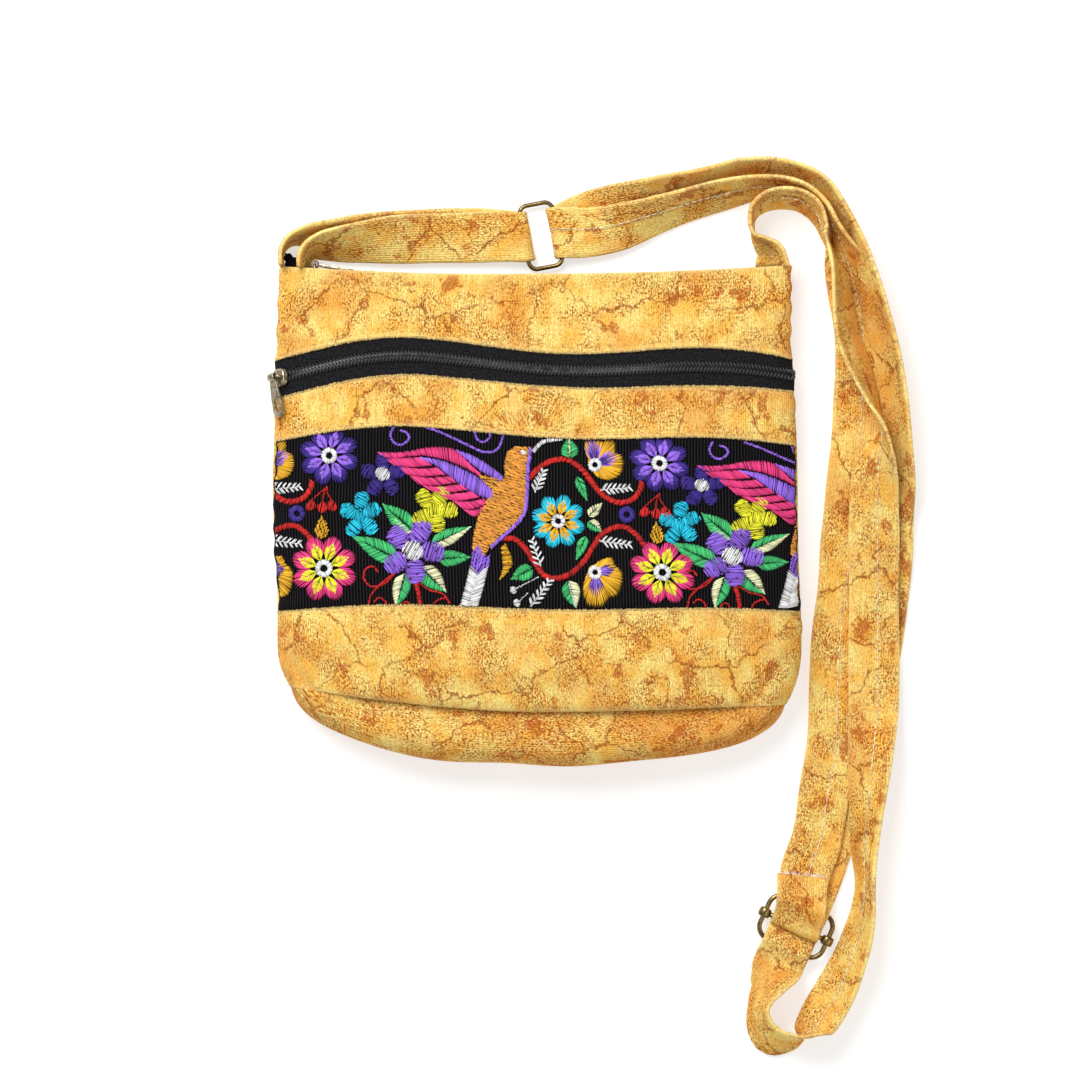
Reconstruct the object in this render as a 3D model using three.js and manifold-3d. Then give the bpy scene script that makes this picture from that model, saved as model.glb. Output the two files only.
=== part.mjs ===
// A soft crossbody bag lying on its back, with its shoulder strap laid beside it.
// Millimetres. +X is the bag's right, +Y runs to its mouth, +Z is up from the floor.
// The origin is on the floor, in the middle of the back panel.
import * as THREE from 'three';
import { mergeVertices } from 'three/addons/utils/BufferGeometryUtils.js';
import Module from 'manifold-3d';

const wasm = await Module();
wasm.setup();

// Cloth
const clothWall = 2.0;
const bandWall = 1.6;
const tapeWall = 1.2;
const bandDepth = 0.5;
const tapeDepth = 1.0;
const seamGap = 0.3;

// Straps
const strapWidth = 24.5;
const strapThickness = 2.0;
const strapStep = 8;
const strapHalf = strapWidth / 2;
const strapSkin = strapThickness / 2;

// Zips
const coilWidth = 5.2;
const coilHeight = 1.9;
const coilLift = 0.4;
const coilShare = { shoulder: 0.5, crest: 0.55 };
const tapeSlit = 0.6;
const mouthRecess = 4.0;
const mouthEnd = 0.86;
const frontSliderAt = -0.93;
const topSliderAt = -0.79;
const mouthClear = { middle: 0.6, ends: 3, power: 8 };
const slider = { length: 10, width: 8.4, foot: 0.4, top: 3.4, channel: 5.9, roof: 2.7, bridgeLift: 5.9 };
const sliderShare = { nose: 0.3, shoulder: 0.1, heel: 0.36 };
const bridge = { postAt: 3.4, post: 1.5, radius: 0.8, sink: 0.4 };
const pull = { length: 19.5, neck: 3.8, width: 6.4, thickness: 1.6, eyeBore: 1.15, eyeRadius: 2.1 };
const pullShare = { root: 0.8, shoulder: 0.72 };
const pullSlot = { from: 10.5, length: 6.5, width: 2.6 };
const pullDroop = 7;

// Strap hardware
const ring = { x: 1.4, y: 134.6, turn: 11, halfLength: 15.5, halfWidth: 8.15, wire: 1.1, corner: 4 };
const slide = { x: 124.3, y: -198.2, turn: -24.8, halfLength: 16.5, halfWidth: 11, wire: 1.2, corner: 6 };
const collar = { length: 5.5, radius: 2.5 };
const foldClear = 0.5;
const barTurn = { from: -45, to: -270, steps: 5 };

// Grid sizes of the cloth walls, steps and sides of the round pieces
const acrossCount = 32;
const backRows = 11;
const baseRows = 4;
const foldSteps = 4;
const cornerSteps = 5;
const wireSides = 8;
const collarSides = 10;
const eyeSides = 12;
const arcSegments = 8;

// Step of a slope, passes that settle a seam's level, weld of shared points and spare length of a cutter
const nudge = 1e-3;
const seamPasses = 4;
const weld = 1e-5;
const cutPast = 2;

// Sections of the bag, one row for each level up the bag: side edges, height of the front
// above the floor, height of the side seams and how boxy the front's crown is.
const sections = [
  { y: -98, left: -110, right: 115, height: 37, seam: 15, crown: 2.5 },
  { y: -84, left: -118, right: 122.5, height: 40, seam: 15, crown: 2.5 },
  { y: -70, left: -124, right: 126, height: 41, seam: 15, crown: 2.5 },
  { y: -45, left: -125.4, right: 126.6, height: 40, seam: 14, crown: 2.5 },
  { y: 0, left: -127.2, right: 125, height: 36, seam: 13, crown: 2.6 },
  { y: 45, left: -126.3, right: 123.8, height: 31, seam: 12, crown: 2.9 },
  { y: 85, left: -125.8, right: 121.8, height: 25, seam: 11, crown: 3.4 },
  { y: 122, left: -124, right: 121.5, height: 20, seam: 10, crown: 5 },
];
const backCrown = 6;
const backFlat = 1.02;
const crownDraw = 7;

// Seam lines across the front: mean level, tilt, height of the slouch wave, and how far
// each end rises or drops past the distance "from".
const seams = {
  mouth: { level: 116.2, tilt: 0.006, wave: 0, leftRise: 4.3, rightRise: 3.5, from: 20 },
  zipTop: { level: 80.6, tilt: -0.03, wave: 2.8, leftRise: -7.5, rightRise: -3, from: 60 },
  zipBottom: { level: 63.4, tilt: -0.038, wave: 1.8, leftRise: -10.5, rightRise: 0, from: 55 },
  bandTop: { level: 38.8, tilt: -0.036, wave: 1.6, leftRise: -6.5, rightRise: -1.3, from: 60 },
  bandBottom: { level: -44.4, tilt: -0.01, wave: 0.9, leftRise: -2.6, rightRise: -1, from: 60 },
  base: { level: -95, tilt: 0, wave: 0, leftRise: 13, rightRise: 3.5, from: 0 },
};
const waveCrest = -66;
const waveLength = 158;
const seamReach = 124;
const risePower = 1.7;

// Soft dents in the front: middle, half sizes and depth.
const dents = [
  { x: 15, y: 112, alongX: 70, alongY: 24, depth: 3.5 },
  { x: -20, y: 72, alongX: 110, alongY: 11, depth: 1.4 },
  { x: 22, y: 20, alongX: 18, alongY: 60, depth: 1.6 },
  { x: -88, y: -72, alongX: 22, alongY: 13, depth: 2.2 },
  { x: 96, y: -76, alongX: 20, alongY: 12, depth: 2.2 },
  { x: 5, y: -84, alongX: 75, alongY: 8, depth: 1.6 },
];

// Base: how far it bulges past its seam, how square the bulge is, and where its ends stop.
const baseBulge = 25;
const baseReach = 121;
const baseSquare = 4.5;
const baseCrown = 2.4;
const baseEnd = 0.985;
const baseTip = { share: 0.3, growth: 6 };
const baseSplit = { at: 0.5, half: 0.01 };

// Route of the short strap from the left corner to the ring and back: place, compass bearing and
// rise of the width, and the height of what it lies on.
const ringStrapOut = [
  { x: -123.5, y: 121.2, bearing: 180, rise: 90, lift: 0.3 },
  { x: -123, y: 127.5, bearing: 160, rise: 88, lift: 0 },
  { x: -118.5, y: 132.5, bearing: 125, rise: 80, lift: 0 },
  { x: -109.5, y: 134.5, bearing: 100, rise: 66, lift: 0 },
  { x: -95, y: 134.5, bearing: 92, rise: 48, lift: 0 },
  { x: -70, y: 134.5, bearing: 90, rise: 25, lift: 0 },
  { x: -45, y: 134.5, bearing: 94, rise: 10, lift: 0 },
  { x: -22, y: 134, bearing: 99, rise: 0, lift: 0 },
];
const ringStrapBack = [
  { x: -22, y: 132.5, bearing: 99, rise: 0, lift: 3.4 },
  { x: -45, y: 132, bearing: 94, rise: 10, lift: 2.6 },
  { x: -70, y: 131.5, bearing: 91, rise: 24, lift: 2.4 },
  { x: -93, y: 130, bearing: 92, rise: 46, lift: 1.2 },
  { x: -104, y: 129.5, bearing: 95, rise: 60, lift: 0.6 },
  { x: -109.5, y: 127.5, bearing: 112, rise: 70, lift: 0.3 },
  { x: -112, y: 124, bearing: 150, rise: 75, lift: 0.3 },
  { x: -112.5, y: 121, bearing: 180, rise: 78, lift: 0.3 },
];

// Route of the long strap from the right corner down to the slide.
const strapDown = [
  { x: 113, y: 120.8, bearing: 0, rise: 50, lift: 0.5 },
  { x: 112.3, y: 126.2, bearing: 20, rise: 62, lift: 0 },
  { x: 108.5, y: 130.2, bearing: 60, rise: 72, lift: 0 },
  { x: 104, y: 134.6, bearing: 110, rise: 82, lift: 0 },
  { x: 102.7, y: 141.6, bearing: 160, rise: 84, lift: 0 },
  { x: 105, y: 147.4, bearing: 140, rise: 76, lift: 0 },
  { x: 110.4, y: 151.2, bearing: 115, rise: 70, lift: 0 },
  { x: 117, y: 152.6, bearing: 92, rise: 68, lift: 0 },
  { x: 125.6, y: 151.6, bearing: 75, rise: 68, lift: 0 },
  { x: 132, y: 147.8, bearing: 48, rise: 70, lift: 0 },
  { x: 136, y: 141.6, bearing: 22, rise: 78, lift: 0 },
  { x: 138.6, y: 133.8, bearing: 5, rise: 87, lift: 1 },
  { x: 141.8, y: 122.4, bearing: 0, rise: 99, lift: 6 },
  { x: 145, y: 105.6, bearing: 0, rise: 112, lift: 4.4 },
  { x: 148, y: 86.4, bearing: 0, rise: 119, lift: 3.4 },
  { x: 154.6, y: 71.5, bearing: -15, rise: 122, lift: 2.6 },
  { x: 161, y: 54.2, bearing: -25, rise: 108, lift: 2.6 },
  { x: 166, y: 41.8, bearing: -25, rise: 88, lift: 2.8 },
  { x: 164.4, y: 30.2, bearing: -8, rise: 55, lift: 3.4 },
  { x: 162.2, y: 16.8, bearing: 0, rise: 27, lift: 4.2 },
  { x: 161.8, y: -4.8, bearing: 0, rise: 8, lift: 4.8 },
  { x: 161.8, y: -36, bearing: 0, rise: 0, lift: 4.9 },
  { x: 161.8, y: -69.6, bearing: 0, rise: 0, lift: 4.9 },
  { x: 161.6, y: -93.6, bearing: 0, rise: 8, lift: 4.8 },
  { x: 160.3, y: -112.8, bearing: 0, rise: 30, lift: 4.6 },
  { x: 158.4, y: -136.8, bearing: 0, rise: 46, lift: 3.6 },
  { x: 157, y: -160.8, bearing: 0, rise: 62, lift: 1.2 },
  { x: 157.4, y: -177.6, bearing: 0, rise: 71, lift: 0 },
  { x: 156.5, y: -190.6, bearing: -5, rise: 66, lift: 0 },
  { x: 154.1, y: -202, bearing: -18, rise: 58, lift: 0 },
  { x: 150.2, y: -213.6, bearing: -28, rise: 50, lift: 0 },
  { x: 144, y: -226, bearing: -38, rise: 46, lift: 0 },
  { x: 135.4, y: -238.6, bearing: -48, rise: 54, lift: 0 },
  { x: 127.2, y: -248.2, bearing: -62, rise: 82, lift: 0 },
  { x: 119, y: -252.6, bearing: -82, rise: 112, lift: 0 },
  { x: 110, y: -250, bearing: -115, rise: 126, lift: 0 },
  { x: 106.8, y: -239.5, bearing: -165, rise: 122, lift: 0 },
  { x: 110.6, y: -228.4, bearing: -198, rise: 138, lift: 0 },
];

// The strap's way over and under the slide's bars: distance along the strap from the centre bar
// and height of the strap's middle.
const slideWeave = [
  { along: -21, height: 1.2 },
  { along: -15.5, height: 5 },
  { along: -12.2, height: 8 },
  { along: -11, height: 8.35 },
  { along: -9.4, height: 7.7 },
  { along: -3.2, height: 2.2 },
  { along: 0, height: 1 },
  { along: 3.2, height: 2.2 },
  { along: 9.4, height: 7.7 },
  { along: 11, height: 8.35 },
  { along: 12.2, height: 8 },
  { along: 15.5, height: 5 },
  { along: 21, height: 1.2 },
];

// From the slide up to the ring, underneath.
const strapUp = [
  { x: 139, y: -160.8, bearing: -197, rise: 180, lift: 0 },
  { x: 145.9, y: -136.8, bearing: -196, rise: 180, lift: 0 },
  { x: 152.6, y: -112.8, bearing: -194, rise: 180, lift: 0 },
  { x: 158.4, y: -88.8, bearing: -192, rise: 180, lift: 0 },
  { x: 163.7, y: -60, bearing: -190, rise: 180, lift: 0 },
  { x: 167.5, y: -31.2, bearing: -185, rise: 177, lift: 0 },
  { x: 169.2, y: -2.4, bearing: -181, rise: 168, lift: 0 },
  { x: 171.6, y: 21.6, bearing: -180, rise: 142, lift: 0 },
  { x: 172.6, y: 40.8, bearing: -178, rise: 122, lift: 0.6 },
  { x: 170.8, y: 60, bearing: -174, rise: 118, lift: 2.6 },
  { x: 167.4, y: 79.2, bearing: -170, rise: 118, lift: 4 },
  { x: 162.4, y: 98.4, bearing: -166, rise: 117, lift: 5 },
  { x: 156.4, y: 117.6, bearing: -162, rise: 116, lift: 4 },
  { x: 149.6, y: 135.8, bearing: -158, rise: 113, lift: 0.5 },
  { x: 143.4, y: 148.3, bearing: -150, rise: 110, lift: 0 },
  { x: 138, y: 156, bearing: -130, rise: 111, lift: 0 },
  { x: 130.6, y: 161, bearing: -102, rise: 116, lift: 0 },
  { x: 116.2, y: 164.8, bearing: -88, rise: 121, lift: 0 },
  { x: 99.4, y: 164.6, bearing: -82, rise: 122, lift: 0 },
  { x: 77.8, y: 159.4, bearing: -75, rise: 124, lift: 0 },
  { x: 51.4, y: 152.6, bearing: -74, rise: 138, lift: 0 },
  { x: 34, y: 147, bearing: -76, rise: 162, lift: 0 },
  { x: 21, y: 142, bearing: -78, rise: 178, lift: 0 },
];

// From the ring back to the slide, on top.
const strapOver = [
  { x: 22, y: 136, bearing: -78, rise: 176, lift: 3.8 },
  { x: 36, y: 138, bearing: -75, rise: 162, lift: 2.6 },
  { x: 51.4, y: 142.6, bearing: -73, rise: 140, lift: 0.8 },
  { x: 65.8, y: 147.4, bearing: -72, rise: 131, lift: 0 },
  { x: 85, y: 153.1, bearing: -74, rise: 125, lift: 0 },
  { x: 104.2, y: 157.4, bearing: -82, rise: 117, lift: 0 },
  { x: 118.6, y: 157.8, bearing: -92, rise: 111, lift: 0 },
  { x: 128.6, y: 155.2, bearing: -110, rise: 106, lift: 0 },
  { x: 136.8, y: 148.6, bearing: -135, rise: 102, lift: 0 },
  { x: 143.2, y: 138, bearing: -157, rise: 101, lift: 0 },
  { x: 147.6, y: 124.3, bearing: -165, rise: 135, lift: 0 },
  { x: 151.2, y: 108, bearing: -172, rise: 166, lift: 0 },
  { x: 154, y: 88.8, bearing: -178, rise: 175, lift: 0 },
  { x: 154.4, y: 69.6, bearing: -180, rise: 179, lift: 0 },
  { x: 153.2, y: 50.4, bearing: -180, rise: 180, lift: 0 },
  { x: 152.4, y: 38, bearing: -180, rise: 180, lift: 0.6 },
  { x: 151, y: 21.6, bearing: -181, rise: 180, lift: 2.4 },
  { x: 148.8, y: -2.4, bearing: -182, rise: 180, lift: 2.4 },
  { x: 147.2, y: -33, bearing: -183, rise: 180, lift: 2.4 },
  { x: 144, y: -60, bearing: -184, rise: 180, lift: 2.4 },
  { x: 142.6, y: -84, bearing: -182, rise: 180, lift: 2.4 },
  { x: 142, y: -110.4, bearing: -184, rise: 180, lift: 2.4 },
  { x: 138, y: -134, bearing: -194, rise: 180, lift: 2.4 },
  { x: 134.4, y: -156, bearing: -202, rise: 180, lift: 2.5 },
];

// The strap's sewn end: over the weave and down to the centre bar, then, once round the bar,
// back on top of itself as a flap. The shift is to the side, along the bar.
const slideEnd = [
  { along: 27, shift: -7, height: 3.9 },
  { along: 20.5, shift: -5.6, height: 5 },
  { along: 15.5, shift: -4, height: 8.3 },
  { along: 11, shift: -2.2, height: 10.8 },
  { along: 6.3, shift: -0.8, height: 8.3 },
  { along: 3.2, shift: -0.2, height: 5.3 },
];
const slideFlap = [
  { along: 3.2, shift: -0.3, height: 9.4 },
  { along: 6.3, shift: -1, height: 11.6 },
  { along: 11, shift: -2.5, height: 13.4 },
  { along: 15.5, shift: -4.2, height: 11.2 },
  { along: 20.5, shift: -6.2, height: 7.9 },
  { along: 23.5, shift: -7.3, height: 7 },
];

// Materials
const printedCloth = new THREE.MeshStandardMaterial({ color: 0xd9a243, roughness: 0.9 });
const blackCloth = new THREE.MeshStandardMaterial({ color: 0x1d1b1e, roughness: 0.85 });
const blackNylon = new THREE.MeshStandardMaterial({ color: 0x141416, roughness: 0.5 });
const silverMetal = new THREE.MeshStandardMaterial({ color: 0x9c9a96, roughness: 0.35, metalness: 1 });
const agedBrass = new THREE.MeshStandardMaterial({ color: 0x6b5638, roughness: 0.4, metalness: 1 });

const bag = new THREE.Group();

function addPart(name, geometry, material, parent = bag) {
  const part = new THREE.Mesh(geometry, material);
  part.name = name;
  parent.add(part);
  return part;
}

// Smooth value of one column of a table at a place between its rows.
function column(rows, key, at, name) {
  const last = rows.length - 1;
  let k = 0;
  while (k < last - 1 && rows[k + 1][key] <= at) {
    k += 1;
  }
  const slope = (i) => {
    const a = rows[Math.max(i - 1, 0)];
    const b = rows[Math.min(i + 1, last)];
    return (b[name] - a[name]) / (b[key] - a[key]);
  };
  const span = rows[k + 1][key] - rows[k][key];
  const t = THREE.MathUtils.clamp((at - rows[k][key]) / span, 0, 1);
  const rise = rows[k + 1][name] - rows[k][name];
  const lean = slope(k) * span - rise;
  const arrive = rise - slope(k + 1) * span;
  return rows[k][name] + t * rise + t * (1 - t) * ((1 - t) * lean + t * arrive);
}

function sectionAt(y) {
  const section = {};
  for (const name of ['left', 'right', 'height', 'seam', 'crown']) {
    section[name] = column(sections, 'y', y, name);
  }
  return section;
}

// Quarter superellipse on each side of the middle, with its points drawn towards the sides.
function crownAt(u, power) {
  const turn = Math.PI / 4 * (u + u ** crownDraw);
  const sine = Math.sin(turn);
  const cosine = Math.max(Math.cos(turn), 0);
  const size = (Math.abs(sine) ** power + cosine ** power) ** (1 / power);
  return { across: sine / size, rise: cosine / size };
}

function seamLine(seam, x) {
  const past = Math.max(0, (Math.abs(x) - seam.from) / (seamReach - seam.from));
  const rise = (x < 0 ? seam.leftRise : seam.rightRise) * past ** risePower;
  const wave = seam.wave * Math.cos(2 * Math.PI * (x - waveCrest) / waveLength);
  return seam.level + seam.tilt * x + wave + rise;
}

function dentAt(x, y) {
  let depth = 0;
  for (const dent of dents) {
    const away = ((x - dent.x) / dent.alongX) ** 2 + ((y - dent.y) / dent.alongY) ** 2;
    depth += dent.depth * Math.exp(-away);
  }
  return depth;
}

function onFront(u, y) {
  const section = sectionAt(y);
  const { across, rise } = crownAt(u, section.crown);
  const x = (section.left + section.right) / 2 + across * (section.right - section.left) / 2;
  const foot = section.seam + seamGap / 2;
  return new THREE.Vector3(x, y, foot + rise * (section.height - foot - dentAt(x, y)));
}

function onBack(u, y) {
  const section = sectionAt(y);
  const { across, rise } = crownAt(u, backCrown);
  const x = (section.left + section.right) / 2 + across * (section.right - section.left) / 2;
  return new THREE.Vector3(x, y, (section.seam - seamGap / 2) * (1 - Math.min(1, rise * backFlat)));
}

// Level of a seam line at a place u across the front or back.
function seamLevel(surface, u, seam) {
  let y = seam.level;
  for (let pass = 0; pass < seamPasses; pass += 1) {
    y = seamLine(seam, surface(u, y).x);
  }
  return y;
}

// A point of the front or back at a share v of the way from one seam line to another.
function betweenSeams(surface, u, v, lower, upper) {
  const low = seamLevel(surface, u, lower) + seamGap / 2;
  const high = seamLevel(surface, u, upper) - seamGap / 2;
  return surface(u, THREE.MathUtils.lerp(low, high, v));
}

// A closed mesh whose faces point out.
function closedMesh(points, triangles) {
  let volume = 0;
  for (let i = 0; i < triangles.length; i += 3) {
    const [a, b, c] = [points[triangles[i]], points[triangles[i + 1]], points[triangles[i + 2]]];
    volume += a.dot(new THREE.Vector3().crossVectors(b, c));
  }
  const order = volume < 0 ? triangles.slice().reverse() : triangles;
  const geometry = new THREE.BufferGeometry().setFromPoints(points);
  geometry.setIndex(order);
  geometry.computeVertexNormals();
  return geometry;
}

// A wall that lies inside a surface: the surface is sampled on a grid, set in by a depth
// and thickened inwards along its normals.
function wallOn(surface, columns, rows, thickness, depth = 0) {
  const points = [];
  for (const layer of [0, 1]) {
    for (let j = 0; j <= rows; j += 1) {
      for (let i = 0; i <= columns; i += 1) {
        const u = i / columns;
        const v = j / rows;
        const alongU = surface(Math.min(u + nudge, 1), v).sub(surface(Math.max(u - nudge, 0), v));
        const alongV = surface(u, Math.min(v + nudge, 1)).sub(surface(u, Math.max(v - nudge, 0)));
        const normal = alongU.cross(alongV).normalize();
        const wall = typeof thickness === 'function' ? thickness(u) : thickness;
        points.push(surface(u, v).addScaledVector(normal, -depth - layer * wall));
      }
    }
  }
  const stride = columns + 1;
  const inner = stride * (rows + 1);
  const triangles = [];
  const quad = (a, b, c, d) => triangles.push(a, b, c, a, c, d);
  for (let j = 0; j < rows; j += 1) {
    for (let i = 0; i < columns; i += 1) {
      const at = j * stride + i;
      quad(at, at + 1, at + stride + 1, at + stride);
      quad(inner + at, inner + at + stride, inner + at + stride + 1, inner + at + 1);
    }
  }
  for (let i = 0; i < columns; i += 1) {
    const top = rows * stride + i;
    quad(i + 1, i, inner + i, inner + i + 1);
    quad(top, top + 1, inner + top + 1, inner + top);
  }
  for (let j = 0; j < rows; j += 1) {
    const left = j * stride;
    const right = left + columns;
    quad(left, left + stride, inner + left + stride, inner + left);
    quad(right + stride, right, inner + right, inner + right + stride);
  }
  return closedMesh(points, triangles);
}

// A profile carried along frames, each with a place, a direction across and a direction out.
function sweep(frames, profile, closed = false) {
  const points = [];
  for (const frame of frames) {
    for (const [across, out] of profile) {
      const point = frame.place.clone().addScaledVector(frame.across, across);
      points.push(point.addScaledVector(frame.out, out));
    }
  }
  const sides = profile.length;
  const count = frames.length;
  const triangles = [];
  for (let k = 0; k < (closed ? count : count - 1); k += 1) {
    const next = (k + 1) % count;
    for (let i = 0; i < sides; i += 1) {
      const j = (i + 1) % sides;
      const [a, b, c, d] = [k * sides + i, k * sides + j, next * sides + j, next * sides + i];
      triangles.push(a, b, c, a, c, d);
    }
  }
  if (!closed) {
    const end = (count - 1) * sides;
    for (let i = 1; i < sides - 1; i += 1) {
      triangles.push(0, i + 1, i, end, end + i, end + i + 1);
    }
  }
  return closedMesh(points, triangles);
}

function roundProfile(radius, sides) {
  const profile = [];
  for (let i = 0; i < sides; i += 1) {
    const turn = 2 * Math.PI * i / sides;
    profile.push([radius * Math.cos(turn), radius * Math.sin(turn)]);
  }
  return profile;
}

// Boolean joins and cuts
function solid(geometry) {
  const bare = geometry.clone();
  bare.deleteAttribute('normal');
  bare.deleteAttribute('uv');
  const merged = mergeVertices(bare, weld);
  const mesh = new wasm.Mesh({
    numProp: 3,
    vertProperties: merged.attributes.position.array,
    triVerts: Uint32Array.from(merged.index.array),
  });
  return new wasm.Manifold(mesh);
}

function fromSolid(body) {
  const mesh = body.getMesh();
  const geometry = new THREE.BufferGeometry();
  geometry.setAttribute('position', new THREE.BufferAttribute(mesh.vertProperties, 3));
  geometry.setIndex(new THREE.BufferAttribute(mesh.triVerts, 1));
  geometry.computeVertexNormals();
  return geometry;
}

function box(x0, x1, y0, y1, z0, z1) {
  const geometry = new THREE.BoxGeometry(x1 - x0, y1 - y0, z1 - z0);
  return geometry.translate((x0 + x1) / 2, (y0 + y1) / 2, (z0 + z1) / 2);
}

function rodAlongX(radius, length, sides) {
  return new THREE.CylinderGeometry(radius, radius, length, sides).rotateZ(Math.PI / 2);
}

// Middle line of the front zip, as a seam line of its own
const zipMiddle = {};
for (const name of Object.keys(seams.zipTop)) {
  zipMiddle[name] = (seams.zipTop[name] + seams.zipBottom[name]) / 2;
}

// Front strips, from the mouth down: seams on both sides, rows of the grid, wall and set-back
const { mouth, zipTop, zipBottom, bandTop, bandBottom, base } = seams;
const plain = { cloth: printedCloth, wall: clothWall, depth: 0 };
const tape = { cloth: blackCloth, wall: tapeWall, depth: tapeDepth };
const band = { cloth: blackCloth, wall: bandWall, depth: bandDepth };
const strips = [
  { name: 'front_top_panel', lower: zipTop, upper: mouth, rows: 5, ...plain },
  { name: 'front_zip_tape_upper', lower: zipMiddle, upper: zipTop, rows: 1, ...tape },
  { name: 'front_zip_tape_lower', lower: zipBottom, upper: zipMiddle, rows: 1, ...tape },
  { name: 'front_middle_panel', lower: bandTop, upper: zipBottom, rows: 3, ...plain },
  { name: 'embroidered_band', lower: bandBottom, upper: bandTop, rows: 7, ...band },
  { name: 'front_lower_panel', lower: base, upper: bandBottom, rows: 6, ...plain },
];
for (const { name, lower, upper, rows, cloth, wall, depth } of strips) {
  const surface = (s, v) => betweenSeams(onFront, 2 * s - 1, v, lower, upper);
  addPart(name, wallOn(surface, acrossCount, rows, wall, depth), cloth);
}

const backSurface = (s, v) => betweenSeams(onBack, 1 - 2 * s, v, seams.base, seams.mouth);
addPart('back_panel', wallOn(backSurface, acrossCount, backRows, clothWall), printedCloth);

// Base: from the back's lower edge, out along the floor and up to the front's lower edge
function onBase(s, w) {
  const u = (2 * s - 1) * baseEnd;
  const front = betweenSeams(onFront, u, 0, seams.base, seams.bandBottom);
  const back = betweenSeams(onBack, u, 0, seams.base, seams.mouth);
  const turn = Math.PI * (w - 0.5);
  const sine = Math.sin(turn);
  const cosine = Math.max(Math.cos(turn), 0);
  const size = (Math.abs(sine) ** baseCrown + cosine ** baseCrown) ** (1 / baseCrown);
  const bulge = baseBulge * (1 - Math.min(1, Math.abs(front.x) / baseReach) ** baseSquare);
  const middle = front.clone().lerp(back, 0.5);
  const half = front.clone().sub(back).multiplyScalar(0.5);
  middle.addScaledVector(half, sine / size);
  middle.y -= seamGap + bulge * cosine / size;
  return middle;
}

// The base thins out at its two tips.
function baseWall(s) {
  const fromTip = 1 - Math.abs(2 * s - 1);
  return clothWall * THREE.MathUtils.clamp(baseTip.share + baseTip.growth * fromTip, 0, 1);
}

// The base's two halves meet along its outermost line.
const baseHalves = [
  { name: 'base_back_panel', from: 0, to: baseSplit.at - baseSplit.half },
  { name: 'base_front_panel', from: baseSplit.at + baseSplit.half, to: 1 },
];
for (const { name, from, to } of baseHalves) {
  const surface = (s, v) => onBase(s, THREE.MathUtils.lerp(from, to, v));
  addPart(name, wallOn(surface, acrossCount, baseRows, baseWall), printedCloth);
}

// A place on a zip, with the directions along it, across it and out of the cloth
function zipFrame(middle, place, outward) {
  const along = middle(place + nudge).sub(middle(place - nudge)).normalize();
  const out = outward(place);
  out.addScaledVector(along, -out.dot(along)).normalize();
  const across = new THREE.Vector3().crossVectors(out, along);
  return { place: middle(place), along, across, out };
}

function frontZipPoint(u) {
  return betweenSeams(onFront, u, 0, zipMiddle, seams.zipTop);
}

function frontZipOut(u) {
  const alongU = frontZipPoint(u + nudge).sub(frontZipPoint(u - nudge));
  const up = betweenSeams(onFront, u, 0.5, zipMiddle, seams.zipTop).sub(frontZipPoint(u));
  return alongU.cross(up).normalize();
}

function frontZipFrame(u) {
  const frame = zipFrame(frontZipPoint, u, frontZipOut);
  frame.place.addScaledVector(frame.out, -tapeDepth);
  return frame;
}

// Mouth zip: its tapes close the mouth a little below the top edge and face +Y
function mouthEdge(u, side) {
  const x = onFront(u, seams.mouth.level).x;
  const y = seamLine(seams.mouth, x) - mouthRecess;
  const clear = clothWall + mouthClear.middle + mouthClear.ends * Math.abs(u) ** mouthClear.power;
  const edge = side > 0 ? onFront(u, y) : onBack(u, y);
  edge.z -= side * clear;
  return edge;
}

function mouthMiddle(u) {
  return mouthEdge(u, 1).lerp(mouthEdge(u, -1), 0.5);
}

function mouthTape(side) {
  return (s, w) => {
    const u = (2 * s - 1) * mouthEnd;
    const inner = mouthMiddle(u);
    inner.z += side * tapeSlit / 2;
    const outer = mouthEdge(u, side);
    return side > 0 ? outer.lerp(inner, w) : inner.lerp(outer, w);
  };
}
addPart('top_zip_tape_front', wallOn(mouthTape(1), acrossCount, 1, tapeWall), blackCloth);
addPart('top_zip_tape_back', wallOn(mouthTape(-1), acrossCount, 1, tapeWall), blackCloth);

function mouthFrame(u) {
  return zipFrame(mouthMiddle, u, () => new THREE.Vector3(0, 1, 0));
}

// Coil chains, flat-bottomed and rounded on top
const coilHalf = coilWidth / 2;
const coilCrest = coilHalf * coilShare.crest;
const coilShoulder = coilLift + coilHeight * coilShare.shoulder;
const coilTop = coilLift + coilHeight;
const coilProfile = [
  [-coilHalf, coilLift],
  [coilHalf, coilLift],
  [coilHalf, coilShoulder],
  [coilCrest, coilTop],
  [-coilCrest, coilTop],
  [-coilHalf, coilShoulder],
];

// The coil's steps follow the columns of its tapes, and it stops one column short of their ends.
function coilChain(name, frameAt, reach) {
  const frames = [];
  for (let i = 1; i < acrossCount; i += 1) {
    frames.push(frameAt((2 * i / acrossCount - 1) * reach));
  }
  addPart(name, sweep(frames, coilProfile), blackNylon);
}
coilChain('front_zip_coil', frontZipFrame, 1);
coilChain('top_zip_coil', mouthFrame, mouthEnd);

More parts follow.
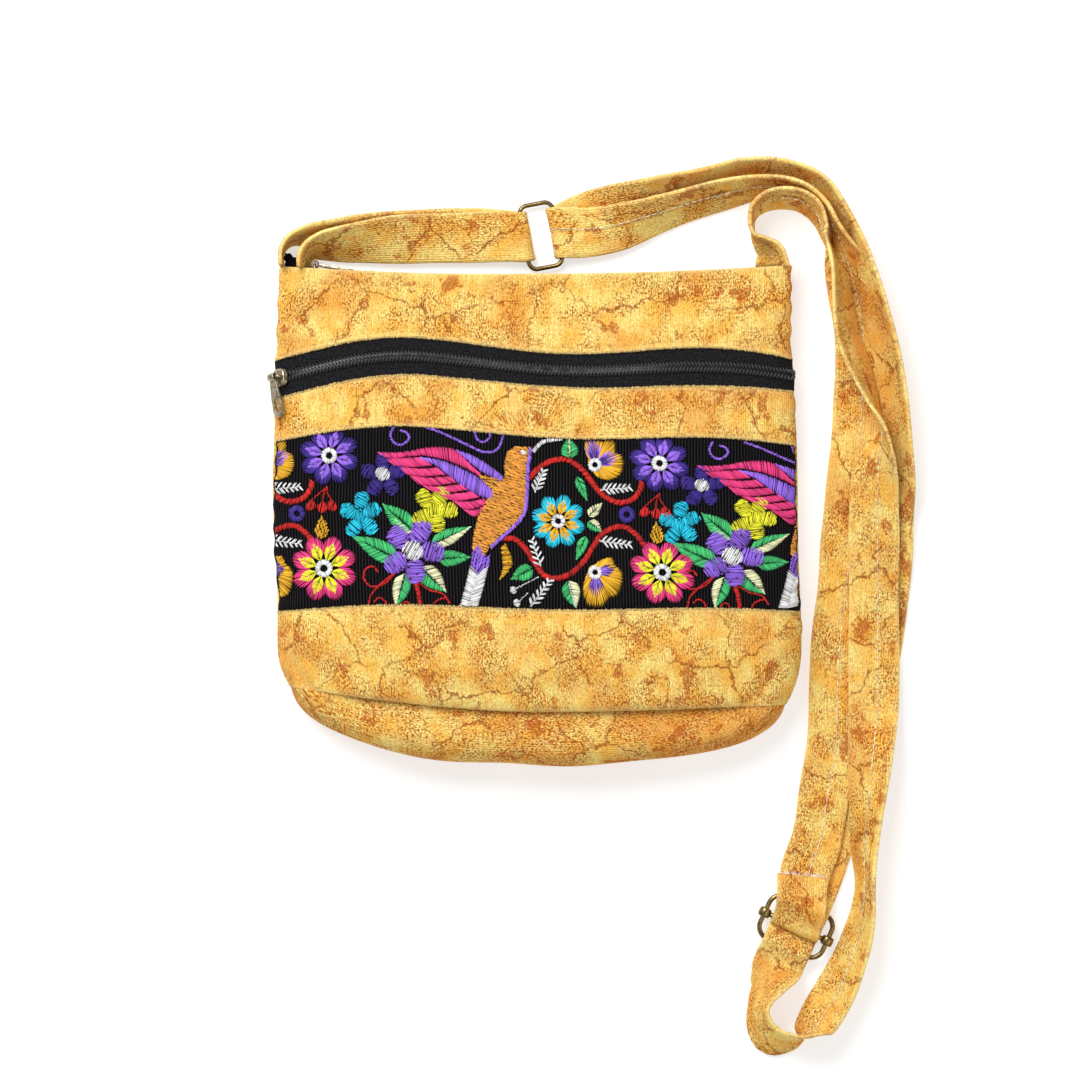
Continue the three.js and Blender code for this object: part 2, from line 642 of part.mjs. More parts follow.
// Slider: a roof and two flanges over the coil, and a bridge that holds the pull.
// Local x runs along the zip, y across it and z out of it.
function sliderSolid(bridgeTurn) {
  const { length, width, foot, top, channel, roof, bridgeLift } = slider;
  const nose = width * sliderShare.nose;
  const shoulder = -length * sliderShare.shoulder;
  const heel = length * sliderShare.heel;
  const outline = new THREE.Shape();
  outline.moveTo(-length / 2, -nose);
  outline.lineTo(shoulder, -width / 2);
  outline.lineTo(heel, -width / 2);
  outline.quadraticCurveTo(length / 2, 0, heel, width / 2);
  outline.lineTo(shoulder, width / 2);
  outline.lineTo(-length / 2, nose);
  outline.closePath();
  const block = { depth: top - foot, bevelEnabled: false, curveSegments: arcSegments };
  const shell = new THREE.ExtrudeGeometry(outline, block).translate(0, 0, foot);
  const cut = box(-length, length, -channel / 2, channel / 2, foot - cutPast, roof);
  const { postAt, post, radius, sink } = bridge;
  const turn = THREE.MathUtils.degToRad(bridgeTurn);
  const bar = rodAlongX(radius, 2 * postAt + post, wireSides).translate(0, 0, bridgeLift);
  let body = solid(shell).subtract(solid(cut)).add(solid(bar.rotateZ(turn)));
  for (const at of [-postAt, postAt]) {
    const leg = box(at - post / 2, at + post / 2, -radius, radius, top - sink, bridgeLift);
    body = body.add(solid(leg.rotateZ(turn)));
  }
  return fromSolid(body);
}

// Pull tab: a plate with a slot near its end and a rolled eye round the bridge.
// Its eye is at the local origin with its bore along x, and the plate points to -y.
function pullSolid() {
  const { length, neck, width, thickness, eyeBore, eyeRadius } = pull;
  const tip = -length + width / 2;
  const root = -eyeRadius * pullShare.root;
  const shoulder = tip * pullShare.shoulder;
  const outline = new THREE.Shape();
  outline.moveTo(-neck / 2, root);
  outline.lineTo(-width / 2, shoulder);
  outline.lineTo(-width / 2, tip);
  outline.absarc(0, tip, width / 2, Math.PI, 2 * Math.PI, false);
  outline.lineTo(width / 2, shoulder);
  outline.lineTo(neck / 2, root);
  outline.closePath();
  const slot = new THREE.Path();
  const end = pullSlot.width / 2;
  slot.absarc(0, -pullSlot.from, end, 0, Math.PI, false);
  slot.absarc(0, -pullSlot.from - pullSlot.length + 2 * end, end, Math.PI, 2 * Math.PI, false);
  outline.holes.push(slot);
  const flat = { depth: thickness, bevelEnabled: false, curveSegments: arcSegments };
  const plate = new THREE.ExtrudeGeometry(outline, flat).translate(0, 0, -thickness / 2);
  const eye = rodAlongX(eyeRadius, neck, eyeSides);
  const bore = rodAlongX(eyeBore, neck + cutPast, eyeSides);
  return fromSolid(solid(plate).add(solid(eye)).subtract(solid(bore)));
}

// A slider and its pull, set on a zip. The pull lies across the zip, or along it when turned.
function zipHead(name, frame, bridgeTurn) {
  const head = new THREE.Group();
  head.matrix.makeBasis(frame.along, frame.across, frame.out).setPosition(frame.place);
  head.matrix.decompose(head.position, head.quaternion, head.scale);
  addPart(`${name}_slider`, sliderSolid(bridgeTurn), silverMetal, head);
  const swing = new THREE.Group();
  swing.position.z = slider.bridgeLift;
  swing.rotation.z = THREE.MathUtils.degToRad(bridgeTurn);
  const tab = addPart(`${name}_pull`, pullSolid(), silverMetal, swing);
  tab.rotation.x = THREE.MathUtils.degToRad(pullDroop);
  head.add(swing);
  bag.add(head);
}
zipHead('front_zip', frontZipFrame(frontSliderAt), 0);
zipHead('top_zip', mouthFrame(topSliderAt), 90);

// Wire loops: a rounded rectangle of wire, level with the floor
function wireLoop(loop, height) {
  const frames = [];
  const turn = THREE.MathUtils.degToRad(loop.turn);
  const up = new THREE.Vector3(0, 0, 1);
  const corners = [[1, 1], [-1, 1], [-1, -1], [1, -1]];
  corners.forEach(([sx, sy], quarter) => {
    for (let k = 0; k <= cornerSteps; k += 1) {
      const angle = Math.PI / 2 * (quarter + k / cornerSteps);
      const outward = new THREE.Vector3(Math.cos(angle), Math.sin(angle), 0);
      const place = outward.clone().multiplyScalar(loop.corner);
      place.x += sx * (loop.halfWidth - loop.corner);
      place.y += sy * (loop.halfLength - loop.corner);
      place.applyAxisAngle(up, turn).add(new THREE.Vector3(loop.x, loop.y, height));
      frames.push({ place, across: outward.applyAxisAngle(up, turn), out: up });
    }
  });
  return sweep(frames, roundProfile(loop.wire, wireSides), true);
}
const ringHeight = strapThickness + foldClear + ring.wire;
addPart('strap_ring', wireLoop(ring, ringHeight), agedBrass);

// Slide: the wire frame's long side lies across the strap, and the centre bar is
// crimped round the two short sides.
const slideHeight = 2 * (strapThickness + seamGap) + slide.wire;
const slideAcross = { ...slide, halfLength: slide.halfWidth, halfWidth: slide.halfLength };
addPart('slide_frame', wireLoop(slideAcross, slideHeight), agedBrass);

function slideBarSolid() {
  let bar = solid(rodAlongX(slide.wire, 2 * slide.halfLength, wireSides));
  const bore = slide.wire + seamGap;
  for (const at of [-slide.halfLength, slide.halfLength]) {
    const tube = new THREE.CylinderGeometry(collar.radius, collar.radius, collar.length, collarSides);
    const hole = new THREE.CylinderGeometry(bore, bore, collar.length + cutPast, collarSides);
    bar = bar.add(solid(tube.translate(at, 0, 0))).subtract(solid(hole.translate(at, 0, 0)));
  }
  return fromSolid(bar);
}
const slideBar = addPart('slide_bar', slideBarSolid(), agedBrass);
slideBar.position.set(slide.x, slide.y, slideHeight);
slideBar.rotation.z = THREE.MathUtils.degToRad(slide.turn);

// Straps. A row's height follows from what it lies on and how far the strap stands on its edge.
function laidRow(row) {
  const rise = THREE.MathUtils.degToRad(row.rise);
  const stand = strapHalf * Math.abs(Math.sin(rise)) + strapSkin * Math.abs(Math.cos(rise));
  return { ...row, z: row.lift + stand };
}

// Half turn round a bar of the ring, from below it to above it, bulging the way it faces.
function foldRows(x, y, facing, widthRow) {
  const radius = ring.wire + foldClear + strapSkin;
  const away = THREE.MathUtils.degToRad(facing);
  const rows = [];
  for (let k = 0; k <= foldSteps; k += 1) {
    const turn = Math.PI * (k / foldSteps - 0.5);
    const reach = radius * Math.cos(turn);
    const z = ringHeight + radius * Math.sin(turn);
    rows.push({ ...widthRow, x: x + reach * Math.cos(away), y: y + reach * Math.sin(away), z });
  }
  return rows;
}

// Places along the strap's run through the slide
function slideRows(places, widthRow) {
  const turn = THREE.MathUtils.degToRad(slide.turn);
  return places.map(({ along, shift = 0, height }) => ({
    ...widthRow,
    x: slide.x + shift * Math.cos(turn) - along * Math.sin(turn),
    y: slide.y + shift * Math.sin(turn) + along * Math.cos(turn),
    z: height,
  }));
}

// The sewn end goes round the centre bar, from below it to above it.
function barWrap(widthRow) {
  const radius = slide.wire + seamGap + strapSkin;
  const places = [];
  for (let k = 0; k <= barTurn.steps; k += 1) {
    const turn = THREE.MathUtils.degToRad(barTurn.from + (barTurn.to - barTurn.from) * k / barTurn.steps);
    places.push({ along: radius * Math.cos(turn), height: slideHeight + radius * Math.sin(turn) });
  }
  return slideRows(places, widthRow);
}

// Frames along a strap, which never sinks below the floor.
function strapFrames(rows) {
  const points = rows.map((row) => new THREE.Vector3(row.x, row.y, row.z));
  const curve = new THREE.CatmullRomCurve3(points);
  const last = rows.length - 1;
  const numbered = rows.map((row, index) => ({ ...row, index }));
  const frames = [];
  for (let k = 0; k < last; k += 1) {
    const steps = Math.max(1, Math.round(points[k].distanceTo(points[k + 1]) / strapStep));
    for (let i = 0; i < steps + (k === last - 1 ? 1 : 0); i += 1) {
      const at = k + i / steps;
      const bearing = THREE.MathUtils.degToRad(column(numbered, 'index', at, 'bearing'));
      const rise = THREE.MathUtils.degToRad(column(numbered, 'index', at, 'rise'));
      const level = Math.cos(rise);
      const across = new THREE.Vector3(level * Math.cos(bearing), level * Math.sin(bearing), Math.sin(rise));
      const along = curve.getTangent(at / last);
      across.addScaledVector(along, -across.dot(along)).normalize();
      const out = along.cross(across);
      const place = curve.getPoint(at / last);
      place.z = Math.max(place.z, strapHalf * Math.abs(across.z) + strapSkin * Math.abs(out.z));
      frames.push({ place, across, out });
    }
  }
  return frames;
}

const strapProfile = [
  [-strapHalf, -strapSkin],
  [strapHalf, -strapSkin],
  [strapHalf, strapSkin],
  [-strapHalf, strapSkin],
];

function addStrap(name, rows) {
  addPart(name, sweep(strapFrames(rows), strapProfile), printedCloth);
}

const ringTurn = THREE.MathUtils.degToRad(ring.turn);
const barX = ring.halfWidth * Math.cos(ringTurn);
const barY = ring.halfWidth * Math.sin(ringTurn);
addStrap('ring_strap', [
  ...ringStrapOut.map(laidRow),
  ...foldRows(ring.x - barX, ring.y - barY, ring.turn, { bearing: 90 + ring.turn, rise: 0 }),
  ...ringStrapBack.map(laidRow),
]);

const slideWidth = { bearing: slide.turn - 180, rise: 180 };
addStrap('shoulder_strap', [
  ...strapDown.map(laidRow),
  ...slideRows(slideWeave, slideWidth),
  ...strapUp.map(laidRow),
  ...foldRows(ring.x + barX, ring.y + barY, ring.turn + 180, { bearing: ring.turn - 90, rise: 180 }),
  ...strapOver.map(laidRow),
  ...slideRows(slideEnd, slideWidth),
  ...barWrap(slideWidth),
  ...slideRows(slideFlap, slideWidth),
]);

export default bag;
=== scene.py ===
import bpy
import numpy as np
from mathutils import Matrix


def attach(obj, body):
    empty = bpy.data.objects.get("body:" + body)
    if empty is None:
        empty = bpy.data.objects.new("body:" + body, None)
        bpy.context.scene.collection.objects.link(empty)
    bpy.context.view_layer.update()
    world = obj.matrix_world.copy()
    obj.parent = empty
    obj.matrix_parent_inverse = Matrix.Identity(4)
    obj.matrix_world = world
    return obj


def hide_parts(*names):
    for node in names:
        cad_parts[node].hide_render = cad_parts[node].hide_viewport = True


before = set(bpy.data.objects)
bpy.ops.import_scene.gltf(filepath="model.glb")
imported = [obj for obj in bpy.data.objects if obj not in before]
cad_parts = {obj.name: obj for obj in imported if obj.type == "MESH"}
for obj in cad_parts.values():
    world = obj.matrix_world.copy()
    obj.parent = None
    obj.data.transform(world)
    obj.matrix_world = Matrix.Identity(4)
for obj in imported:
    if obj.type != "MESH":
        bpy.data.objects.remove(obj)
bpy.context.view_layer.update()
mm = 0.001
rng = np.random.default_rng(44)
print("frame loaded")


# Camera: straight down on the flat lay, with a long lens
cameraSet = {
    "middle": (1.0, -12.0), "aimHeight": 20.0, "distance": 4000.0, "field": 518.4, "sensor": 36.0, "far": 50.0,
}
camera = bpy.data.objects.new("camera", bpy.data.cameras.new("camera"))
camera.data.sensor_width = cameraSet["sensor"]
camera.data.lens = cameraSet["sensor"] * cameraSet["distance"] / cameraSet["field"]
camera.data.clip_end = cameraSet["far"]
cameraHeight = cameraSet["distance"] + cameraSet["aimHeight"]
camera.location = [v * mm for v in (*cameraSet["middle"], cameraHeight)]
bpy.context.collection.objects.link(camera)
bpy.context.scene.camera = camera


# Mesh helpers. All shapes are worked out in millimetres.
def unit(v):
    return v / np.maximum(np.linalg.norm(v, axis=-1, keepdims=True), 1e-9)


# Smooth step from 0 at the first value to 1 at the second
def ease(low, high, x):
    t = np.clip((x - low) / (high - low), 0, 1)
    return t * t * (3 - 2 * t)


# A full turn in n even steps
def fullTurn(n):
    return 2 * np.pi * np.arange(n) / n


# A sine or cosine to a power, with its sign: below 1 it squares a circle
def squared(v, power):
    return np.sign(v) * np.abs(v) ** power


# Rows of a table read off at places along a run
def alongRun(at, run, table):
    return np.stack([np.interp(at, run, column) for column in table.T], -1)


# Faces of a grid of rows and columns, closed round either way if asked
def gridFaces(rows, cols, start=0, closeRows=False, closeCols=False):
    i = np.arange(rows if closeRows else rows - 1)[:, None]
    j = np.arange(cols if closeCols else cols - 1)[None, :]
    i, j = np.broadcast_arrays(i, j)
    i2, j2 = (i + 1) % rows, (j + 1) % cols
    quads = np.stack([i * cols + j, i * cols + j2, i2 * cols + j2, i2 * cols + j], -1)
    return start + quads.reshape(-1, 4)


# Twice a grid, outer and inner, joined by a rim round all four edges
def wallFaces(rows, cols):
    n = rows * cols
    edge = np.concatenate([
        np.arange(cols), np.arange(1, rows) * cols + cols - 1,
        (rows - 1) * cols + np.arange(cols - 2, -1, -1), np.arange(rows - 2, 0, -1) * cols])
    after = np.roll(edge, -1)
    rim = np.stack([after, edge, edge + n, after + n], -1)
    return [gridFaces(rows, cols), gridFaces(rows, cols, n)[:, ::-1], rim]


# Six times the volume, whose sign tells which way the faces point
def signedVolume(points, faces):
    total = 0.0
    for f in faces:
        a = points[f[:, 0]]
        for k in range(1, f.shape[1] - 1):
            total += np.sum(a * np.cross(points[f[:, k]], points[f[:, k + 1]]))
    return total


def addPiece(name, points, faces, look, slot, body="bag", uv=None, values=None, nodes=()):
    points = np.asarray(points, float).reshape(-1, 3)
    if signedVolume(points, faces) < 0:
        faces = [f[:, ::-1] for f in faces]
    mesh = bpy.data.meshes.new(name)
    corners = np.concatenate([f.reshape(-1) for f in faces]).astype(np.int32)
    sizes = np.concatenate([np.full(len(f), f.shape[1]) for f in faces])
    mesh.vertices.add(len(points))
    mesh.vertices.foreach_set("co", (points * mm).astype(np.float32).reshape(-1))
    mesh.loops.add(len(corners))
    mesh.loops.foreach_set("vertex_index", corners)
    mesh.polygons.add(len(sizes))
    mesh.polygons.foreach_set("loop_start", np.concatenate([[0], np.cumsum(sizes)[:-1]]).astype(np.int32))
    mesh.update(calc_edges=True)
    mesh.shade_smooth()
    if uv is not None:
        layer = mesh.uv_layers.new(name="cloth")
        layer.data.foreach_set("uv", np.asarray(uv, np.float32).reshape(-1, 2)[corners].reshape(-1))
    for key, value in (values or {}).items():
        attribute = mesh.attributes.new(key, "FLOAT", "POINT")
        attribute.data.foreach_set("value", np.asarray(value, np.float32).reshape(-1))
    mesh.materials.append(look)
    piece = bpy.data.objects.new(name, mesh)
    bpy.context.collection.objects.link(piece)
    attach(piece, body)
    if nodes:
        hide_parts(*nodes)
    return piece


# Several meshes as one: their points end to end and their face numbers moved along
def joinParts(parts):
    points, faces, start = [], [], 0
    for p, f in parts:
        p = np.asarray(p).reshape(-1, 3)
        points.append(p)
        faces += [g + start for g in f]
        start += len(p)
    return np.concatenate(points), faces


# Every part turned so that its own faces point out
def outward(points, faces):
    points = np.asarray(points).reshape(-1, 3)
    return points, faces if signedVolume(points, faces) > 0 else [f[:, ::-1] for f in faces]


# A profile (side, up) carried along places with a side and an up direction at each
def sweepPart(place, side, up, profile, closed=False):
    profile = np.broadcast_to(profile, (len(place), *np.shape(profile)[-2:]))
    points = place[:, None] + side[:, None] * profile[..., :1] + up[:, None] * profile[..., 1:]
    n, m = points.shape[:2]
    faces = [gridFaces(n, m, closeRows=closed, closeCols=True)]
    if not closed:
        faces += [np.arange(m)[None, ::-1], (n - 1) * m + np.arange(m)[None]]
    return outward(points, faces)


def roundProfile(radius, sides):
    turn = fullTurn(sides)
    return np.stack([radius * np.cos(turn), radius * np.sin(turn)], -1)


# A closed loop (along the axis, away from it) turned about an axis
def spinPart(loop, centre, axis, side, sides=28):
    turn = fullTurn(sides)
    third = np.cross(axis, side)
    around = np.cos(turn)[:, None] * side + np.sin(turn)[:, None] * third
    points = centre + loop[None, :, :1] * axis + loop[None, :, 1:] * around[:, None]
    return outward(points, [gridFaces(sides, len(loop), closeRows=True, closeCols=True)])


# A smooth table: cubic pieces through the rows, each row's slope taken from its neighbours
def tableAt(table, at):
    at = np.asarray(at, float)
    key, vals = table[:, 0], table[:, 1:]
    rows = np.arange(len(key))
    low, high = np.maximum(rows - 1, 0), np.minimum(rows + 1, len(key) - 1)
    slope = (vals[high] - vals[low]) / (key[high] - key[low])[:, None]
    k = np.clip(np.searchsorted(key, at, side="right") - 1, 0, len(key) - 2)
    span = (key[k + 1] - key[k])[..., None]
    t = np.clip((at - key[k])[..., None] / span, 0, 1)
    rise = vals[k + 1] - vals[k]
    lean, arrive = slope[k] * span - rise, rise - slope[k + 1] * span
    return vals[k] + t * rise + t * (1 - t) * ((1 - t) * lean + t * arrive)


# A smooth curve through points, knots spaced by the square root of their distance; also its slope
def curveThrough(points, at):
    p = np.concatenate([[2 * points[0] - points[1]], points, [2 * points[-1] - points[-2]]])
    gap = np.sqrt(np.linalg.norm(np.diff(p, axis=0), axis=1))
    k = np.clip(np.floor(at).astype(int), 0, len(points) - 2)
    t = (at - k)[:, None]
    a, b, c, d = p[k], p[k + 1], p[k + 2], p[k + 3]
    g0, g1, g2 = gap[k][:, None], gap[k + 1][:, None], gap[k + 2][:, None]
    m1 = ((b - a) / g0 - (c - a) / (g0 + g1) + (c - b) / g1) * g1
    m2 = ((c - b) / g1 - (d - b) / (g1 + g2) + (d - c) / g2) * g1
    c2, c3 = -3 * b + 3 * c - 2 * m1 - m2, 2 * b - 2 * c + m1 + m2
    return b + m1 * t + c2 * t ** 2 + c3 * t ** 3, unit(m1 + 2 * c2 * t + 3 * c3 * t ** 2)


# Distance along the rows (axis 0) or columns (axis 1) of a grid of points
def runLength(grid, axis):
    step = np.linalg.norm(np.diff(grid, axis=axis), axis=-1)
    pad = [(0, 0), (0, 0)]
    pad[axis] = (1, 0)
    return np.cumsum(np.pad(step, pad), axis=axis)


# Threads: a pointed tip, three rings of points and a second tip, each on an axis of five points
ringPoints = 6
threadPoints = 3 * ringPoints + 2
threadShare = np.array([0.72, 1.0, 0.72])
stitchSteps = np.array([0, 0.15, 0.5, 0.85, 1.0])
fibreSteps = np.array([0, 0.2, 0.5, 0.8, 1.0])


def threadPart(axis, normal, wide, thick):
    along = unit(axis[:, 2:] - axis[:, :-2])
    side = unit(np.cross(normal[:, 1:4], along))
    up = np.cross(along, side)
    turn = fullTurn(ringPoints)[:, None]
    wide, thick = (np.broadcast_to(v, len(axis))[:, None, None, None] for v in (wide, thick))
    ring = side[:, :, None] * np.cos(turn) * wide + up[:, :, None] * np.sin(turn) * thick
    rings = axis[:, 1:4, None] + ring * threadShare[:, None, None]
    points = np.concatenate([axis[:, :1], rings.reshape(len(axis), -1, 3), axis[:, 4:]], 1)
    k = np.arange(ringPoints)
    after, lastRing, lastPoint = np.roll(k, -1), 1 + 2 * ringPoints, threadPoints - 1
    tips = np.concatenate([np.stack([0 * k, 1 + after, 1 + k], -1),
                           np.stack([lastPoint + 0 * k, lastRing + k, lastRing + after], -1)])
    between = np.stack([k, after, after + ringPoints, k + ringPoints], -1)
    sides = np.concatenate([1 + between, 1 + ringPoints + between])
    start = threadPoints * np.arange(len(axis))[:, None, None]
    return outward(points, [(start + tips).reshape(-1, 3), (start + sides).reshape(-1, 4)])


# Several lots of threads as one piece, each thread of its own shade
def addThreads(name, parts, look, darkest):
    points, faces = joinParts(parts)
    shade = np.repeat(rng.uniform(darkest, 1, len(points) // threadPoints), threadPoints)
    addPiece(name, points, faces, look, "printed_cloth", values={"shade": shade})


# Looks. A wrapped socket: arithmetic on it adds Math nodes, and make adds any other node.
class Wire:
    def __init__(self, tree, socket=None):
        self.tree, self.socket = tree, socket

    def make(self, kind, settings, sockets, out=0):
        node = self.tree.nodes.new(kind)
        for key, value in settings.items():
            setattr(node, key, value)
        self.plug(node, sockets)
        return Wire(self.tree, node.outputs[out])

    def plug(self, node, sockets):  # a link from a wrapped socket, or a constant
        for key, value in sockets.items():
            if isinstance(value, Wire):
                self.tree.links.new(value.socket, node.inputs[key])
            else:
                node.inputs[key].default_value = value

    def math(self, operation, a, b):
        return self.make("ShaderNodeMath", {"operation": operation}, {0: a, 1: b})

    def __add__(self, other):
        return self.math("ADD", self, other)

    def __radd__(self, other):
        return self.math("ADD", other, self)

    def __sub__(self, other):
        return self.math("SUBTRACT", self, other)

    def __rsub__(self, other):
        return self.math("SUBTRACT", other, self)

    def __mul__(self, other):
        return self.math("MULTIPLY", self, other)

    def __rmul__(self, other):
        return self.math("MULTIPLY", other, self)

    def sine(self):
        return self.math("SINE", self, 0.0)

    def size(self):
        return self.math("ABSOLUTE", self, 0.0)

    def between(self, low, high):  # 0 at low, 1 at high, eased
        return self.make("ShaderNodeMapRange", {"interpolation_type": "SMOOTHSTEP"},
                         {"Value": self, "From Min": low, "From Max": high})

    def blend(self, a, b):  # colour a where this is 0, colour b where it is 1
        return self.make("ShaderNodeMix", {"data_type": "RGBA"}, {0: self, 6: a, 7: b}, 2)

    def stretched(self, scale, place=(0.0, 0.0, 0.0)):
        return self.make("ShaderNodeMapping", {}, {"Vector": self, "Scale": scale, "Location": place})

    def noise(self, scale, detail=2.0, rough=0.5, flat="2D"):
        return self.make("ShaderNodeTexNoise", {"noise_dimensions": flat},
                         {"Vector": self, "Scale": scale, "Detail": detail, "Roughness": rough})

    def part(self, k):  # x, y or z of a vector
        return self.make("ShaderNodeSeparateXYZ", {}, {0: self}, k)

    def bump(self, strength, distance):  # this as a height
        return self.make("ShaderNodeBump", {}, {"Strength": strength, "Distance": distance, "Height": self})

    def clothMap(self):  # millimetres across and along the cloth
        return self.make("ShaderNodeUVMap", {"uv_map": "cloth"}, {})

    def place(self):  # metres in the piece
        return self.make("ShaderNodeTexCoord", {}, {}, 3)

    def value(self, name):  # a number held at each point
        return self.make("ShaderNodeAttribute", {"attribute_name": name}, {}, 2)


# A colour as it is read on a screen, made linear
def screen(r, g, b):
    c = np.array([r, g, b]) / 255
    c = np.where(c <= 0.04045, c / 12.92, ((c + 0.055) / 1.055) ** 2.4)
    return (*[float(v) for v in c], 1.0)


def newLook(name):
    look = bpy.data.materials.new(name)
    look.use_nodes = True
    return look, Wire(look.node_tree), look.node_tree.nodes["Principled BSDF"]


def connect(w, shader, **sockets):
    w.plug(shader, {key.replace("_", " "): value for key, value in sockets.items()})


# The pale edge colour below is a painted highlight for the folded edges of the cloth.
printSet = {
    "pale": (255, 238, 140), "gold": (255, 208, 98), "deep": (234, 150, 60), "dash": (204, 108, 34),
    "rust": (178, 84, 28), "brown": (130, 64, 18), "vein": (150, 72, 24), "edgeHighlight": (255, 232, 156),
    "sheen": (255, 226, 160), "rib": 1.15, "bend": (16.0, 16.0, 0.0), "cell": 0.026,
    # stretch, place, scale, detail and roughness of each noise
    "noises": {
        "broad": ((0.03, 0.026), (0.0, 0.0), 1.0, 4.0, 0.6), "cloud": ((0.09, 0.075), (7.0, 3.0), 1.0, 4.0, 0.6),
        "streak": ((0.85, 0.07), (0.0, 0.0), 1.0, 2.0, 0.5), "cluster": ((0.05, 0.05), (20.0, 0.0), 1.0, 4.0, 0.62),
        "fine": ((1.2, 0.85), (0.0, 5.0), 1.0, 2.0, 0.65), "grain": ((1.2, 0.8), (0.0, 9.0), 0.95, 1.0, 0.5),
        "worm": ((1.15, 0.8), (0.0, 0.0), 0.42, 2.5, 0.62), "blot": ((1.0, 0.8), (3.0, 40.0), 0.075, 5.0, 0.66),
        "vein": ((0.03, 0.03), (11.0, 5.0), 1.0, 3.0, 0.5), "nap": ((1.0, 0.4), (0.0, 0.0), 2.2, 2.0, 0.5),
    },
}


# Printed suede cloth: golden ground, fine dashes all over and thicker in clusters, rust patches, branching veins. The
# second argument darkens it with more dashes and more deep colour, as painted shade.
def printedLook(name, paintedShade):
    s = printSet
    look, w, shader = newLook(name)
    uv = w.clothMap()
    noise = {key: uv.stretched((*stretch, 1.0), (*place, 0.0)).noise(*rest)
             for key, (stretch, place, *rest) in s["noises"].items()}
    rib = (uv.part(0) * (2 * np.pi / s["rib"])).sine()
    cluster = noise["cluster"].between(0.4 - paintedShade, 0.62 - paintedShade)
    worms = (noise["worm"] - 0.5).size().between(0.03, 0.006)
    patches = noise["blot"].between(0.605, 0.64) * (0.45 + 0.55 * noise["fine"].between(0.38, 0.52))
    drift = w.make("ShaderNodeTexNoise", {"noise_dimensions": "2D"},
                   {"Vector": uv, "Scale": 0.07, "Detail": 4.0, "Roughness": 0.62}, 1)
    bent = uv.make("ShaderNodeVectorMath", {"operation": "MULTIPLY_ADD"}, {0: drift, 1: s["bend"], 2: uv})
    cells = w.make("ShaderNodeTexVoronoi", {"voronoi_dimensions": "2D", "feature": "DISTANCE_TO_EDGE"},
                   {"Vector": bent, "Scale": s["cell"]})
    worn = 0.5 + 0.5 * noise["grain"].between(0.3, 0.5)
    veins = cells.between(0.024, 0.006) * noise["vein"].between(0.37, 0.5) * worn
    ground = noise["cloud"].between(0.36, 0.6).blend(screen(*s["gold"]), screen(*s["pale"]))
    layers = [  # colour and how much of it covers the ground, from the lowest layer up
        ("deep", (0.5 + paintedShade) * noise["broad"].between(0.46 - paintedShade, 0.68 - paintedShade)),
        ("deep", 0.3 * noise["streak"].between(0.5, 0.68)),
        # Painted shade: darker in the troughs of the ribs that the bump raises.
        ("deep", 0.2 * rib.between(0.3, -0.8)),
        ("dash", noise["fine"].between(0.47, 0.57) * (0.34 + 0.5 * cluster)),
        ("brown", noise["grain"].between(0.58, 0.66) * (0.25 + 0.6 * cluster)),
        ("brown", worms * (0.1 + 0.5 * cluster)),
        ("rust", 0.85 * patches),
        ("vein", 0.85 * veins),
        # Painted highlight: a pale tint along the folded edges.
        ("edgeHighlight", 0.7 * w.value("edgeHighlight")),
    ]
    for colour, cover in layers:
        ground = cover.blend(ground, screen(*s[colour]))
    bump = (0.5 * rib + 1.2 * noise["nap"] + 0.8 * noise["grain"]).bump(0.55, 0.00035)
    connect(w, shader, Base_Color=ground, Roughness=0.82 + 0.14 * noise["nap"], Normal=bump, Sheen_Weight=0.05,
            Sheen_Roughness=0.45, Sheen_Tint=screen(*s["sheen"]), Specular_IOR_Level=0.1)
    return look


bandSet = {"low": (5, 5, 6), "high": (46, 43, 46), "rib": 1.5, "weft": 0.62}


# Black ribbed cotton: round ribs up the band, crossed by a fine weft
def bandLook():
    s = bandSet
    look, w, shader = newLook("black_ribbed_cotton")
    uv = w.clothMap()
    x, y = uv.part(0), uv.part(1)
    wander = uv.stretched((0.05, 0.12, 1.0)).noise(1.0, 2.0)
    rib = ((x + 0.8 * wander) * (2 * np.pi / s["rib"])).sine() * 0.5 + 0.5
    weft = (y * (2 * np.pi / s["weft"]) + rib * 1.5).sine() * 0.5 + 0.5
    fuzz = uv.noise(2.6, 2.0)
    lift = rib * (0.55 + 0.45 * weft)
    # The colour is lighter on the raised ribs and weft and darker between them: painted light on the tops, painted
    # shade in the grooves.
    colour = (lift * (0.45 + 0.8 * fuzz)).between(0.1, 0.9).blend(screen(*s["low"]), screen(*s["high"]))
    bump = (rib + 0.35 * weft + 0.5 * fuzz).bump(0.7, 0.00045)
    connect(w, shader, Base_Color=colour, Roughness=0.78 + 0.2 * fuzz, Normal=bump, Specular_IOR_Level=0.05)
    return look


tapeSet = {"low": (4, 4, 5), "high": (42, 42, 45), "warp": 0.95, "weft": 0.8}


# Plain-weave tape: two crossed sines, over and under
def tapeLook():
    s = tapeSet
    look, w, shader = newLook("woven_zip_tape")
    uv = w.clothMap()
    x, y = uv.part(0), uv.part(1)
    weave = (x * (2 * np.pi / s["warp"])).sine() * (y * (2 * np.pi / s["weft"])).sine() * 0.5 + 0.5
    fuzz = uv.noise(1.1, 2.0)
    # The colour is partly lighter where the weave is raised: a painted highlight on the raised threads and painted
    # shade between them, over random fuzz.
    colour = (0.35 * weave + fuzz).between(0.46, 0.86).blend(screen(*s["low"]), screen(*s["high"]))
    bump = (weave + 0.3 * fuzz).bump(0.6, 0.0003)
    connect(w, shader, Base_Color=colour, Roughness=0.72 + 0.2 * fuzz, Normal=bump, Specular_IOR_Level=0.08)
    return look


# low is the painted shade of the coil's bed, high the painted highlight of its loops.
nylonSet = {"low": (3, 3, 4), "high": (62, 62, 65), "dust": 900.0}


